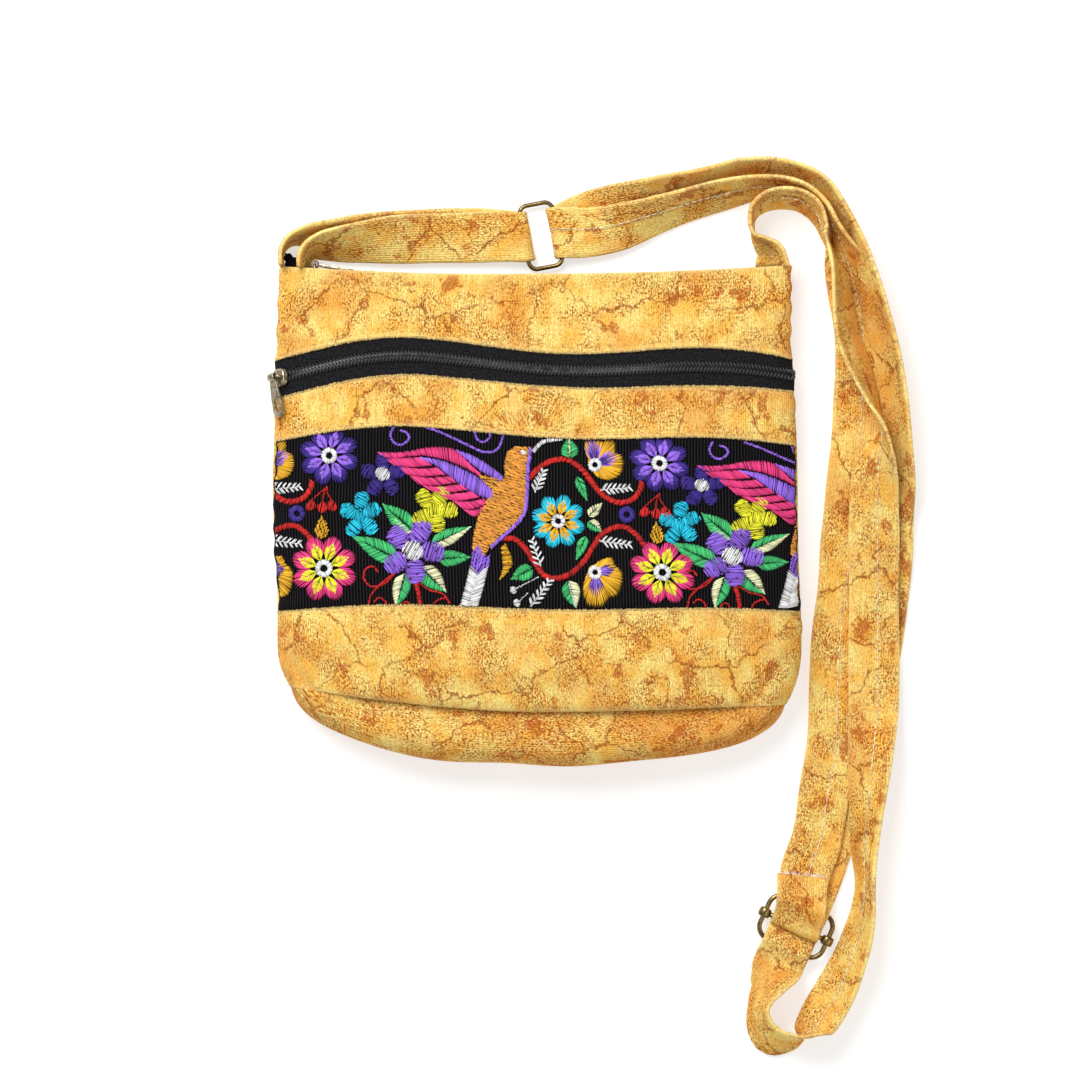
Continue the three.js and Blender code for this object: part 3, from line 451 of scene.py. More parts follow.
# Black nylon, painted lighter on the loops of the coil than on its bed: a painted highlight on the loops and painted
# shade between them
def nylonLook():
    s = nylonSet
    look, w, shader = newLook("black_nylon_coil")
    dust = w.place().noise(s["dust"], 3.0, 0.6, "3D")
    colour = (w.value("shade") * (0.5 + dust)).blend(screen(*s["low"]), screen(*s["high"]))
    connect(w, shader, Base_Color=colour, Roughness=0.2 + 0.2 * dust, Specular_IOR_Level=0.5)
    return look


# Worn metal: a base and a darker tarnish by noise, rubbed scratches in the roughness
def metalLook(name, bright, dull, rough, grain):
    look, w, shader = newLook(name)
    spots = w.place().noise(grain, 4.0, 0.65, "3D")
    fine = w.place().noise(grain * 6, 2.0, 0.6, "3D")
    colour = spots.between(0.36, 0.64).blend(screen(*bright), screen(*dull))
    bump = (spots + 0.4 * fine).bump(0.12, 0.0001)
    connect(w, shader, Base_Color=colour, Metallic=1.0, Roughness=rough + 0.3 * spots * fine, Normal=bump)
    return look


# Embroidery thread: one dye, each stitch a little lighter or darker, fine twist across it
def threadLook(name, colour, rough=0.46):
    look, w, shader = newLook(name)
    twist = w.place().noise(2600.0, 1.0, 0.5, "3D")
    dark = screen(*[c * 0.56 for c in colour])
    light = screen(*[min(255, c * 1.14 + 12) for c in colour])
    tone = (w.value("shade") * 0.9 + twist * 0.4 - 0.1).blend(dark, light)
    connect(w, shader, Base_Color=tone, Roughness=rough + 0.2 * twist, Normal=twist.bump(0.3, 0.0001),
            Specular_IOR_Level=0.3)
    return look


printedCloth = printedLook("printed_suede", 0.0)
# The base's copy is darker: painted shade on the base, which faces down, away from the light.
shadedBaseCloth = printedLook("printed_suede_painted_shade", 0.08)
bandCloth = bandLook()
zipTape = tapeLook()
zipNylon = nylonLook()
zipMetal = metalLook("worn_nickel", (208, 198, 176), (134, 122, 100), 0.24, 420.0)
strapMetal = metalLook("antique_brass", (150, 128, 84), (104, 86, 52), 0.2, 260.0)
paleThread = threadLook("cream_topstitch", (252, 218, 192), 0.6)
goldThread = threadLook("gold_topstitch", (226, 168, 84), 0.6)
whiteThread = threadLook("white_fray", (250, 246, 236), 0.7)
napThread = threadLook("pale_nap", (228, 184, 114), 0.8)
print("looks made")


# Body of the bag: level up the bag, side edges, front height, side seam height, boxiness of the crown
sections = np.array([
    [-98, -110, 115, 37, 15, 2.5], [-84, -118, 122.5, 40, 15, 2.5], [-70, -124, 126, 41, 15, 2.5],
    [-45, -125.4, 126.6, 40, 14, 2.5], [0, -127.2, 125, 36, 13, 2.6], [45, -126.3, 123.8, 31, 12, 2.9],
    [85, -125.8, 121.8, 25, 11, 3.4], [122, -124, 121.5, 20, 10, 5]], float)

# Seam lines: level, tilt, wave height, rise of the left end, rise of the right end, where the rise starts
seams = {
    "mouth": (116.2, 0.006, 0.0, 4.3, 3.5, 20.0), "zipTop": (80.6, -0.03, 2.8, -7.5, -3.0, 60.0),
    "zipBottom": (63.4, -0.038, 1.8, -10.5, 0.0, 55.0), "bandTop": (38.8, -0.036, 1.6, -6.5, -1.3, 60.0),
    "bandBottom": (-44.4, -0.01, 0.9, -2.6, -1.0, 60.0), "base": (-95.0, 0.0, 0.0, 13.0, 3.5, 0.0),
}
seams["zipMiddle"] = tuple((a + b) / 2 for a, b in zip(seams["zipTop"], seams["zipBottom"]))
waveSet = {"crest": -66.0, "length": 158.0, "reach": 124.0, "power": 1.7}

# Soft dents: middle, half sizes, depth
dents = [(15, 112, 70, 24, 3.5), (-20, 72, 110, 11, 1.4), (22, 20, 18, 60, 1.6), (-88, -72, 22, 13, 2.2),
         (96, -76, 20, 12, 2.2), (5, -84, 75, 8, 1.6)]
seamGap = 0.3
bodySet = {
    "clothWall": 2.0, "bandWall": 1.6, "tapeWall": 1.2, "bandDepth": 0.5, "tapeDepth": 1.0, "tuck": 2.6, "bandDip": 1.7,
    "tapeDip": 1.2, "tapeRelief": 0.6, "tapeEnd": 1.4, "edgeRoll": 0.47, "highlightWidth": 1.1, "columns": 221,
}
backSet = {"crown": 6, "flat": 1.02, "quilt": 0.5, "quiltX": 21.0, "quiltY": 17.0, "quiltFrom": (1.5, 4.0)}


# Across and up on a squared arch, for u from the left side to the right
def crownAt(u, power):
    turn = np.pi / 4 * (u + u ** 7)
    sine, cosine = np.sin(turn), np.maximum(np.cos(turn), 0)
    size = (np.abs(sine) ** power + cosine ** power) ** (1 / power)
    return sine / size, cosine / size


def dentAt(x, y):
    return sum(deep * np.exp(-((x - midX) / halfX) ** 2 - ((y - midY) / halfY) ** 2)
               for midX, midY, halfX, halfY, deep in dents)


def seamLine(name, x):
    level, tilt, wave, left, right, start = seams[name]
    s = waveSet
    past = np.maximum(0, (np.abs(x) - start) / (s["reach"] - start)) ** s["power"]
    swing = wave * np.cos(2 * np.pi * (x - s["crest"]) / s["length"])
    return level + tilt * x + swing + np.where(x < 0, left, right) * past


def frontAt(u, y):
    left, right, height, seam, crown = np.moveaxis(tableAt(sections, y), -1, 0)
    across, rise = crownAt(u, crown)
    x = (left + right) / 2 + across * (right - left) / 2
    foot = seam + seamGap / 2
    return np.stack([x, y + 0 * x, foot + rise * (height - foot - dentAt(x, y))], -1)


def backAt(u, y):
    left, right, _, seam, _ = np.moveaxis(tableAt(sections, y), -1, 0)
    across, rise = crownAt(u, backSet["crown"])
    x = (left + right) / 2 + across * (right - left) / 2
    return np.stack([x, y + 0 * x, (seam - seamGap / 2) * (1 - np.minimum(1, backSet["flat"] * rise))], -1)


# Level of a seam on a surface, found in a few rounds, because x depends on the level too
def seamLevel(surface, u, name):
    y = seams[name][0] + 0 * u
    for _ in range(4):
        y = seamLine(name, surface(u, y)[..., 0])
    return y


# Place across the bag at a level: -1 at the left side seam, 1 at the right one
def shareAcross(x, y):
    left, right = np.moveaxis(tableAt(sections, y)[..., :2], -1, 0)
    return (2 * x - left - right) / (right - left)


# Wrinkles of the front: low waves, puckers along the side seams and the sewn edges, and a few creases
wrinkleSet = {
    "waves": [(0.09, 0.03, 0.4, 0.22), (-0.05, 0.11, 1.9, 0.2), (0.16, -0.07, 3.0, 0.13), (0.04, 0.19, 4.2, 0.12),
              (0.21, 0.12, 5.1, 0.08), (-0.18, 0.16, 0.9, 0.08)],
    "pucker": 0.4, "puckerPitch": 12.0, "puckerFrom": 0.93, "seamRipple": 0.22, "ripplePitch": 8.5, "rippleReach": 7.0,
    "rippled": ("zipTop", "zipBottom", "bandTop", "bandBottom", "base"), "lip": 3.6, "lipWidth": 7.5,
    "lipEnds": (0.98, 0.72), "puckerSway": (1.6, 19.0), "rippleSway": (2.0, 23.0),
    # seam, distance from it, depth, half width
    "grooves": [("mouth", -7.0, 0.55, 1.0), ("bandBottom", -2.4, 0.4, 0.9), ("zipTop", 3.0, 0.4, 0.9),
                ("bandTop", 2.0, 0.35, 0.8)],
    # from, to, half width, depth
    "creases": [(-117, -73, -103, -93, 2.6, 1.5), (-122, -58, -106, -74, 5.0, 0.9), (118, -70, 102, -90, 3.0, 1.2),
                (60, 108, 95, 92, 7.0, 0.7), (-95, 105, -60, 98, 7.0, 0.6), (-40, 62, -10, 44, 5.0, 0.4),
                (-70, -58, -20, -66, 8.0, 0.7), (30, -60, 85, -55, 8.0, 0.6)],
}


# A dent along a line, fading past its two ends
def creaseAt(x, y, crease):
    x0, y0, x1, y1, wide, deep = crease
    dx, dy = x1 - x0, y1 - y0
    t = ((x - x0) * dx + (y - y0) * dy) / (dx * dx + dy * dy)
    past = np.maximum(np.abs(t - 0.5) - 0.5, 0) * np.hypot(dx, dy)
    off = ((x - x0) * dy - (y - y0) * dx) / np.hypot(dx, dy)
    return -deep * np.exp(-(off / wide) ** 2 - (past / (2 * wide)) ** 2)


# The lip over the base seam is full in the middle and gone at the two ends
def lipTaper(across):
    return ease(*wrinkleSet["lipEnds"], np.abs(across))


def reliefAt(x, y):
    s = wrinkleSet
    a = np.clip(shareAcross(x, y), -1, 1)
    total = sum(h * np.sin(kx * x + ky * y + p) for kx, ky, p, h in s["waves"])
    sway, reach = s["puckerSway"]
    phase = 2 * np.pi * y / s["puckerPitch"] + sway * np.sin(y / reach + np.sign(x))
    total = total + s["pucker"] * np.sin(phase) * ease(s["puckerFrom"], 1.0, np.abs(a))
    sway, reach = s["rippleSway"]
    for name in s["rippled"]:
        near = np.exp(-((y - seamLine(name, x)) / s["rippleReach"]) ** 2)
        phase = 2 * np.pi * x / s["ripplePitch"] + sway * np.sin(x / reach + len(name))
        total = total + s["seamRipple"] * near * np.sin(phase)
    for crease in s["creases"]:
        total = total + creaseAt(x, y, crease)
    for name, away, deep, wide in s["grooves"]:
        total = total - deep * np.exp(-((y - seamLine(name, x) - away) / wide) ** 2)
    near = np.clip(1 - (y - seamLine("base", x)) / s["lipWidth"], 0, 1)
    return total - s["lip"] * lipTaper(a) * (1 - np.sqrt(1 - near ** 2))


# Front surface as a height over the floor
def frontHeight(x, y):
    height, seam, crown = np.moveaxis(tableAt(sections, y)[..., 2:], -1, 0)
    a = np.minimum(np.abs(shareAcross(x, y)), 1)
    foot = seam + seamGap / 2
    return foot + (1 - a ** crown) ** (1 / crown) * (height - foot - dentAt(x, y))


# A point of the front cloth at x, y, raised along the normal of the cloth, and that normal
def onCloth(x, y, raised):
    d = 0.05  # step for the slopes
    slopeX = (frontHeight(x + d, y) - frontHeight(x - d, y)) / (2 * d)
    slopeY = (frontHeight(x, y + d) - frontHeight(x, y - d)) / (2 * d)
    normal = unit(np.stack([-slopeX, -slopeY, np.ones_like(slopeX)], -1))
    point = np.stack([x, y, frontHeight(x, y)], -1)
    return point + normal * (raised + reliefAt(x, y))[..., None], normal


edgeSteps = np.array([0, 0.05, 0.2, 0.45, 0.8, 1.25, 1.8])


# n places from side to side, drawn together at the two sides
def sideSteps(n):
    return np.sin(np.pi / 2 * np.linspace(-1, 1, n))


# A strip between two seams, with levels drawn together at the two sewn edges
def stripGrid(surface, lower, upper, columns, rows, growLow=0.0, growHigh=0.0):
    u = sideSteps(columns)
    low = seamLevel(surface, u, lower) + seamGap / 2 - growLow
    high = seamLevel(surface, u, upper) - seamGap / 2 + growHigh
    last, ends = edgeSteps[-1], len(edgeSteps) - 1
    offset = np.concatenate([edgeSteps[:-1], np.full(rows, last), 2 * last - edgeSteps[-2::-1]])
    share = np.concatenate([np.zeros(ends), np.linspace(0, 1, rows), np.ones(ends)])
    y = low + offset[:, None] + share[:, None] * (high - low - 2 * last)
    return surface(u[None] + 0 * y, y)


# Cloth of a given wall on a grid: edges rolled over by about half the wall, all raised by a relief, with a pale painted
# highlight along the sewn edges
def clothWall(name, grid, look, slot, nodes, wall, raised=0.0, sign=1.0, patternShift=0.0, ribsAlong=False):
    normal = sign * unit(np.cross(np.gradient(grid, axis=1), np.gradient(grid, axis=0)))
    runU, runV = runLength(grid, 1), runLength(grid, 0)
    nearU, nearV = np.minimum(runU, runU[:, -1:] - runU), np.minimum(runV, runV[-1:] - runV)
    r = bodySet["edgeRoll"] * wall
    roll = sum(r - np.sqrt(np.maximum(0, r * r - (r - np.minimum(d, r)) ** 2)) for d in (nearU, nearV))
    roll = np.minimum(roll, r)
    outer = grid + normal * (raised - roll)[..., None]
    inner = grid + normal * (raised - wall + roll)[..., None]
    rows, cols = grid.shape[:2]
    along = runU - runU[:, cols // 2][:, None] + patternShift
    uv = np.stack([runV - runV[rows // 2], along] if ribsAlong else [along, grid[..., 1]], -1)
    # A pale painted highlight along the sewn edges, none on the base.
    edgeHighlight = 0 * nearV if ribsAlong else np.exp(-nearV / bodySet["highlightWidth"])
    return addPiece(name, np.stack([outer, inner]), wallFaces(rows, cols), look, slot,
                    uv=np.stack([uv, uv]), values={"edgeHighlight": np.stack([edgeHighlight, edgeHighlight])}, nodes=nodes)


# Printed front panels: seam below, seam above, rows
frontPanels = {
    "front_top_panel": ("zipTop", "mouth", 26), "front_middle_panel": ("bandTop", "zipBottom", 18),
    "front_lower_panel": ("base", "bandBottom", 30),
}
columns, tuck = bodySet["columns"], bodySet["tuck"]
for name, (lower, upper, rows) in frontPanels.items():
    grid = stripGrid(frontAt, lower, upper, columns, rows)
    clothWall(name + "_cloth", grid, printedCloth, "printed_cloth", [name], bodySet["clothWall"],
              reliefAt(grid[..., 0], grid[..., 1]), patternShift=3.0)


# The band and the zip tapes dip under the printed edges on the sides where they are sewn in
def dipAt(x, y, names, deep):
    return deep * sum(ease(-0.4, 1.6, sign * (y - seamLine(name, x))) for name, sign in names)


grid = stripGrid(frontAt, "bandBottom", "bandTop", columns, 44, tuck, tuck)
x, y = grid[..., 0], grid[..., 1]
bandDip = dipAt(x, y, (("bandTop", 1), ("bandBottom", -1)), bodySet["bandDip"])
clothWall("embroidered_band_cloth", grid, bandCloth, "black_cloth", ["embroidered_band"], bodySet["bandWall"],
          reliefAt(x, y) - bodySet["bandDepth"] - bandDip)
tapeEnds = bodySet["tapeEnd"] * ease(0.95, 1.0, np.abs(sideSteps(columns)))  # out to the side seams
for name, lower, upper, growLow, growHigh, sewn in (
        ("front_zip_tape_upper", "zipMiddle", "zipTop", 0, tuck, ("zipTop", 1)),
        ("front_zip_tape_lower", "zipBottom", "zipMiddle", tuck, 0, ("zipBottom", -1))):
    grid = stripGrid(frontAt, lower, upper, columns, 12, growLow, growHigh)
    x, y = grid[..., 0], grid[..., 1]
    dip = bodySet["tapeDepth"] + dipAt(x, y, (sewn,), bodySet["tapeDip"])
    clothWall(name + "_cloth", grid, zipTape, "zip_tape", [name], bodySet["tapeWall"],
              bodySet["tapeRelief"] * reliefAt(x, y) - dip + tapeEnds)

# Back panel, lightly quilted where it leaves the floor
s = backSet
grid = stripGrid(backAt, "base", "mouth", 201, 60)
x, y, z = np.moveaxis(grid, -1, 0)
quilt = s["quilt"] * np.sin(x / s["quiltX"] + 1.3) * np.sin(y / s["quiltY"]) * ease(*s["quiltFrom"], z)
clothWall("back_panel_cloth", grid, printedCloth, "printed_cloth", ["back_panel"], bodySet["clothWall"], quilt,
          sign=-1.0, patternShift=400.0)

# Base: from the back's lower edge out along the floor and up under the front's lower edge
baseSet = {
    "bulge": 25.0, "reach": 117.0, "square": (4.5, 3.8), "crown": 2.2, "end": 0.985, "press": 0.3, "under": 3.0,
    "close": 1.0, "lump": 0.7, "thin": 0.7, "underFrom": 0.9, "tuckFrom": 0.72,
}


# u runs from side to side and w from the back seam round to the front one
def baseAt(u, w):
    s = baseSet
    front = frontAt(u, seamLevel(frontAt, u, "base") + seamGap / 2)
    back = backAt(u, seamLevel(backAt, u, "base") + seamGap / 2)
    turn = np.pi * (w - 0.5)
    sine, cosine = np.sin(turn), np.maximum(np.cos(turn), 0)
    size = (np.abs(sine) ** s["crown"] + cosine ** s["crown"]) ** (1 / s["crown"])
    square = np.where(front[..., 0] < 0, *s["square"])
    bulge = s["bulge"] * (1 - np.minimum(1, np.abs(front[..., 0]) / s["reach"]) ** square)
    point = (front + back) / 2 + (front - back) / 2 * (sine / size)[..., None]
    point[..., 1] -= seamGap + bulge * cosine / size
    return point


s = baseSet
u = sideSteps(201) * s["end"]
w = (1 - np.cos(np.pi * np.linspace(0, 1, 49)))[:, None] / 2
grid = baseAt(u[None] + 0 * w, w + 0 * u[None])
x, y, z = np.moveaxis(grid, -1, 0)
seamCrown = tableAt(sections, seamLevel(frontAt, u, "base"))[..., -1]
tips = lipTaper(crownAt(u, seamCrown)[0])[None]
grid[..., 1] += ease(s["underFrom"], 1.0, w) * (s["close"] + (s["under"] - s["close"]) * tips)
lumps = s["lump"] * np.sin(x / 13 + 0.8 * np.sin(x / 31)) * np.sin(np.pi * w) ** 2 * ease(1.0, 8.0, z)
tuckIn = (s["press"] + (wrinkleSet["lip"] + bodySet["clothWall"]) * tips) * ease(s["tuckFrom"], 1.0, w)
# The base wears the darker copy of the print, painted shade.
clothWall("base_panel_cloth", grid, shadedBaseCloth, "printed_cloth", ["base_back_panel", "base_front_panel"],
          bodySet["clothWall"] * s["thin"], lumps * tips - tuckIn, patternShift=160.0, ribsAlong=True)
print("panels made")


# Mouth zip tapes, a little below the mouth's edge
mouthSet = {"recess": 4.0, "clear": 2.6, "ends": 3.0, "end": 0.86, "slit": 0.6}


def mouthEdge(u, side):
    s = mouthSet
    y = seamLine("mouth", frontAt(u, seams["mouth"][0] + 0 * u)[..., 0]) - s["recess"]
    edge = frontAt(u, y) if side > 0 else backAt(u, y)
    edge[..., 2] -= side * (s["clear"] + s["ends"] * np.abs(u) ** 8)
    return edge


def mouthMiddle(u):
    return (mouthEdge(u, 1) + mouthEdge(u, -1)) / 2


u = np.linspace(-1, 1, 161) * mouthSet["end"]
for name, side in (("top_zip_tape_front", 1), ("top_zip_tape_back", -1)):
    inner = mouthMiddle(u) + np.array([0, 0, side * mouthSet["slit"] / 2])
    outer = mouthEdge(u, side)
    t = np.linspace(0, 1, 9)[:, None, None]
    grid = outer * (1 - t) + inner * t
    clothWall(name + "_cloth", grid, zipTape, "zip_tape", [name], bodySet["tapeWall"], sign=side, patternShift=50.0)

# The tape's end stands up out of the mouth at the left corner, between the two legs of the short strap
tapeEndSet = {
    "x": (-121.6, -113.8), "y": (110.0, 126.4), "z": 9.6, "lean": -2.0, "fall": 4.6, "rib": 0.35, "ribPitch": 2.0,
    "sway": 0.5, "curl": 1.6, "wall": 1.3,
}
s = tapeEndSet
across, up = np.meshgrid(np.linspace(0, 1, 25), np.linspace(0, 1, 41))
x = s["x"][0] + (s["x"][1] - s["x"][0]) * across + s["sway"] * np.sin(5 * up)
y = s["y"][0] + (s["y"][1] - s["y"][0] - s["fall"] * across ** 1.5) * up
z = s["z"] + s["curl"] * np.sin(2.2 * across + 1.0) * up + s["lean"] * up
z = z + s["rib"] * np.sin(2 * np.pi * (x + 0.7 * y) / s["ribPitch"])
clothWall("top_zip_tape_end", np.stack([x, y, z], -1), zipTape, "zip_tape", [], s["wall"], patternShift=80.0)


# Zip frames: place, along, across and out at many points of a zip
def zipFrames(middle, outDirection):
    along = unit(np.gradient(middle, axis=0))
    out = unit(outDirection - along * np.sum(outDirection * along, -1, keepdims=True))
    return middle, along, np.cross(out, along), out


# Middle line of the front zip and the direction out of the cloth
def frontZipLine(u, above=0.0):
    y = seamLevel(frontAt, u, "zipMiddle")
    middle = frontAt(u, y + above)
    rise = frontAt(u, y + 4) - middle
    return middle, unit(np.cross(np.gradient(middle, axis=0), rise))


def frontZip(u):
    middle, out = frontZipLine(u)
    relief = bodySet["tapeRelief"] * reliefAt(middle[..., 0], middle[..., 1]) - bodySet["tapeDepth"]
    return zipFrames(middle + out * relief[:, None], out)


def mouthZip(u):
    middle = mouthMiddle(u)
    return zipFrames(middle, np.array([0.0, 1.0, 0.0]) + 0 * middle)


coilSet = {
    "pitch": 1.7, "half": 2.75, "inner": 0.12, "slant": 1.3, "wide": 0.38, "thick": 0.5, "low": 0.8, "high": 1.75,
    "steps": (0.0, 0.16, 0.5, 0.84, 1.0), "stopFrames": 5, "paintedLight": (1.0, 1.0, 0.0, 0.4),
    "frontEnd": 0.985, "frontFrames": 420, "topFrames": 360,
    "bed": [(-2.3, -0.1), (2.3, -0.1), (2.3, 0.15), (0.8, 0.25), (-0.8, 0.25), (-2.3, 0.15)],
    "stop": [(-2.7, 0.1), (2.7, 0.1), (2.6, 1.2), (1.5, 1.8), (-1.5, 1.8), (-2.6, 1.2)],
}


# Coil: two rows of slanted loops, half a pitch apart, over a flat woven bed, with a stop at the right end
def coilPiece(name, frames, node):
    s = coilSet
    place, _, across, out = frames
    run = runLength(place[None], 1)[0]
    t = np.array(s["steps"])[:, None]
    slant = s["slant"] * (0.5 - t)
    lift = s["low"] + (s["high"] - s["low"]) * np.sin(np.pi * (0.16 + 0.84 * (1 - t)) * 0.62) ** 1.2
    parts = []
    for side, phase in ((1, 0.0), (-1, 0.5)):
        at = np.arange(phase * s["pitch"], run[-1], s["pitch"])
        p, a, c, o = (alongRun(at, run, v)[:, None] for v in frames)
        axis = p + a * slant + c * (side * (s["inner"] + (s["half"] - s["inner"]) * t)) + o * lift
        parts.append(threadPart(axis, np.broadcast_to(o, axis.shape), s["wide"], s["thick"]))
    parts.append(sweepPart(place, across, out, s["bed"]))
    parts.append(sweepPart(*(v[-s["stopFrames"]:] for v in (place, across, out)), s["stop"]))
    # Painted light: the loops lighter, the bed darker as painted shade, the stop in between.
    shade = np.concatenate([np.full(len(part[0]), v) for part, v in zip(parts, s["paintedLight"])])
    addPiece(name, *joinParts(parts), zipNylon, "zip_coil", values={"shade": shade}, nodes=[node])


s = coilSet
coilPiece("front_zip_coil_loops", frontZip(np.linspace(-s["frontEnd"], s["frontEnd"], s["frontFrames"])),
          "front_zip_coil")
coilPiece("top_zip_coil_loops", mouthZip(np.linspace(-1, 1, s["topFrames"]) * mouthSet["end"]), "top_zip_coil")
print("zips made")


# Sliders and pulls. Local x runs along the zip, y across it and z out of it.
sliderSet = {
    "length": 10.0, "width": 8.4, "nose": 0.4, "bridgeFoot": 3.0, "bridgeLift": 5.9, "bridgeHalf": 3.7, "bridge": 0.78,
    "arch": 0.42, "sides": 56, "frontAt": -0.93, "topAt": -0.79,
    # share of the outline, height
    "levels": [(0.9, 0.4), (0.99, 0.55), (1, 1.0), (1, 1.5), (0.93, 1.75), (0.92, 2.1), (0.98, 2.4), (0.98, 2.7),
               (0.94, 3.1), (0.86, 3.34), (0.7, 3.42), (0.4, 3.45)],
}
pullSet = {
    "length": 19.5, "neck": 3.8, "width": 6.4, "thick": 1.6, "bore": 1.15, "eye": 2.1, "slotFrom": 11.8,
    "slotLength": 6.7, "slotWidth": 3.0, "droop": 7.0,
    # share of the way from the outline to the slot, share of the thickness
    "levels": [(0.0, 0.42), (0.015, 0.72), (0.06, 0.92), (0.14, 1), (0.4, 0.9), (0.7, 0.9), (0.88, 1), (0.96, 0.92),
               (0.99, 0.72), (1.0, 0.42)],
}


# Body: a rounded outline, narrower at the nose, drawn in level by level; bridge: a squared arch of wire
def sliderParts():
    s = sliderSet
    turn = fullTurn(s["sides"])
    x = s["length"] / 2 * squared(np.cos(turn), 0.62)
    y = s["width"] / 2 * squared(np.sin(turn), 0.55) * (1 - s["nose"] * ease(0.5, -5.0, x))
    share, height = np.array(s["levels"]).T[..., None]
    n, m = len(share), len(turn)
    faces = [gridFaces(n, m, closeCols=True), np.arange(m)[None, ::-1], (n - 1) * m + np.arange(m)[None]]
    body = outward(np.stack([x * share, y * share, height + 0 * x], -1), faces)
    turn = np.linspace(0, np.pi, 41)
    height = s["bridgeFoot"] + (s["bridgeLift"] - s["bridgeFoot"]) * squared(np.sin(turn), s["arch"])
    path = np.stack([s["bridgeHalf"] * squared(np.cos(turn), s["arch"]), 0 * turn, height], -1)
    side = np.broadcast_to([0.0, 1.0, 0.0], path.shape)
    up = unit(np.cross(np.gradient(path, axis=0), side))
    return body, sweepPart(path, side, up, roundProfile(s["bridge"], 12))


# Plate: outer outline and slot as two loops, joined over and under with rolled edges; eye: a turned loop
def pullParts():
    s = pullSet
    turn = np.linspace(0, 2 * np.pi, 96, endpoint=False)
    tip, root = -s["length"] + s["width"] / 2, -s["eye"] * 0.8
    c, n = np.cos(turn), np.sin(turn)
    y = np.where(n > 0, root + (tip - root) * (1 - np.abs(n) ** 0.28), tip + s["width"] / 2 * n)
    wide = np.interp(y, [tip, tip * 0.72, root], [s["width"], s["width"], s["neck"]]) / 2
    x = np.where(n > 0, np.sign(c) * np.minimum(1.0, np.abs(c) * 3.2) * wide, c * s["width"] / 2)
    half = s["slotWidth"] / 2
    reach = s["slotLength"] / 2 - half
    slotY = reach * np.sign(n) * np.minimum(1, np.abs(n) * 6) + half * n - s["slotFrom"] - reach
    share, depth = np.array(s["levels"]).T * [[1], [s["thick"] / 2]]
    share, depth = np.concatenate([share, share[::-1]])[:, None], np.concatenate([depth, -depth[::-1]])
    flat = np.stack([x, y], -1)[:, None] * (1 - share) + np.stack([half * c, slotY], -1)[:, None] * share
    points = np.concatenate([flat, np.broadcast_to(depth[:, None], (*flat.shape[:2], 1))], -1)
    plate = outward(points, [gridFaces(*flat.shape[:2], closeRows=True, closeCols=True)])
    turn = fullTurn(20)
    middle, thick = (s["bore"] + s["eye"]) / 2, (s["eye"] - s["bore"]) / 2
    loop = np.stack([s["neck"] / 2 * squared(np.cos(turn), 0.4), middle + thick * squared(np.sin(turn), 0.6)], -1)
    return plate, spinPart(loop, np.zeros(3), np.array([1.0, 0, 0]), np.array([0, 1.0, 0]))


# Points turned about the third axis
def turned(points, degrees, axes):
    a = np.radians(degrees)
    points = np.array(points)
    p, q = points[:, axes[0]].copy(), points[:, axes[1]].copy()
    points[:, axes[0]], points[:, axes[1]] = p * np.cos(a) - q * np.sin(a), p * np.sin(a) + q * np.cos(a)
    return points


# Slider and pull at the middle one of three frames
def zipHead(name, frames, bridgeTurn, pullBody):
    place, *basis = (v[1] for v in frames)
    basis = np.stack(basis)
    body, arch = sliderParts()
    arch = (turned(arch[0], bridgeTurn, (0, 1)), arch[1])
    points, faces = joinParts([body, arch])
    addPiece(name + "_slider_body", place + points @ basis, faces, zipMetal, "zip_metal", nodes=[name + "_slider"])
    points, faces = joinParts(pullParts())
    points = turned(turned(points, pullSet["droop"], (1, 2)), bridgeTurn, (0, 1)) + [0, 0, sliderSet["bridgeLift"]]
    addPiece(name + "_pull_tab", place + points @ basis, faces, zipMetal, "zip_metal", body=pullBody,
             nodes=[name + "_pull"])


# The sliders sit exactly where the frame has them, on the smooth zip line
def smoothFront(u):
    place, along, across, out = zipFrames(*frontZipLine(u, seamGap / 2))
    return place - bodySet["tapeDepth"] * out, along, across, out


near = np.array([-1, 0, 1]) * 1e-3
zipHead("front_zip", smoothFront(near + sliderSet["frontAt"]), 0.0, "front_pull")
zipHead("top_zip", mouthZip(near + sliderSet["topAt"]), 90.0, "top_pull")
print("sliders made")


# Ring and slide: a rounded rectangle of wire, level with the floor
ringSet = {"x": 1.4, "y": 134.6, "turn": 11.0, "halfX": 8.15, "halfY": 15.5, "wire": 1.1, "corner": 4.0, "z": 3.6}
slideSet = {
    "x": 124.3, "y": -198.2, "turn": -24.8, "halfX": 16.5, "halfY": 11.0, "wire": 1.2, "corner": 6.0, "z": 5.8,
    "barClear": 0.3, "collar": 2.95, "collarLength": 4.5, "collarGap": 0.25,
}


def wireLoop(s):
    k = np.linspace(0, 1, 13)
    angle = np.pi / 2 * (np.arange(4)[:, None] + k[None])
    facing = np.stack([np.cos(angle), np.sin(angle)], -1)
    corner = np.array([[1, 1], [-1, 1], [-1, -1], [1, -1]]) * [s["halfX"] - s["corner"], s["halfY"] - s["corner"]]
    flat = (facing * s["corner"] + corner[:, None]).reshape(-1, 2)
    facing = facing.reshape(-1, 2)
    a = np.radians(s["turn"])
    spin = np.array([[np.cos(a), np.sin(a)], [-np.sin(a), np.cos(a)]])
    place = np.concatenate([flat @ spin + [s["x"], s["y"]], np.full((len(flat), 1), s["z"])], 1)
    side = np.concatenate([facing @ spin, np.zeros((len(flat), 1))], 1)
    return sweepPart(place, side, np.broadcast_to([0.0, 0.0, 1.0], place.shape), roundProfile(s["wire"], 16), True)


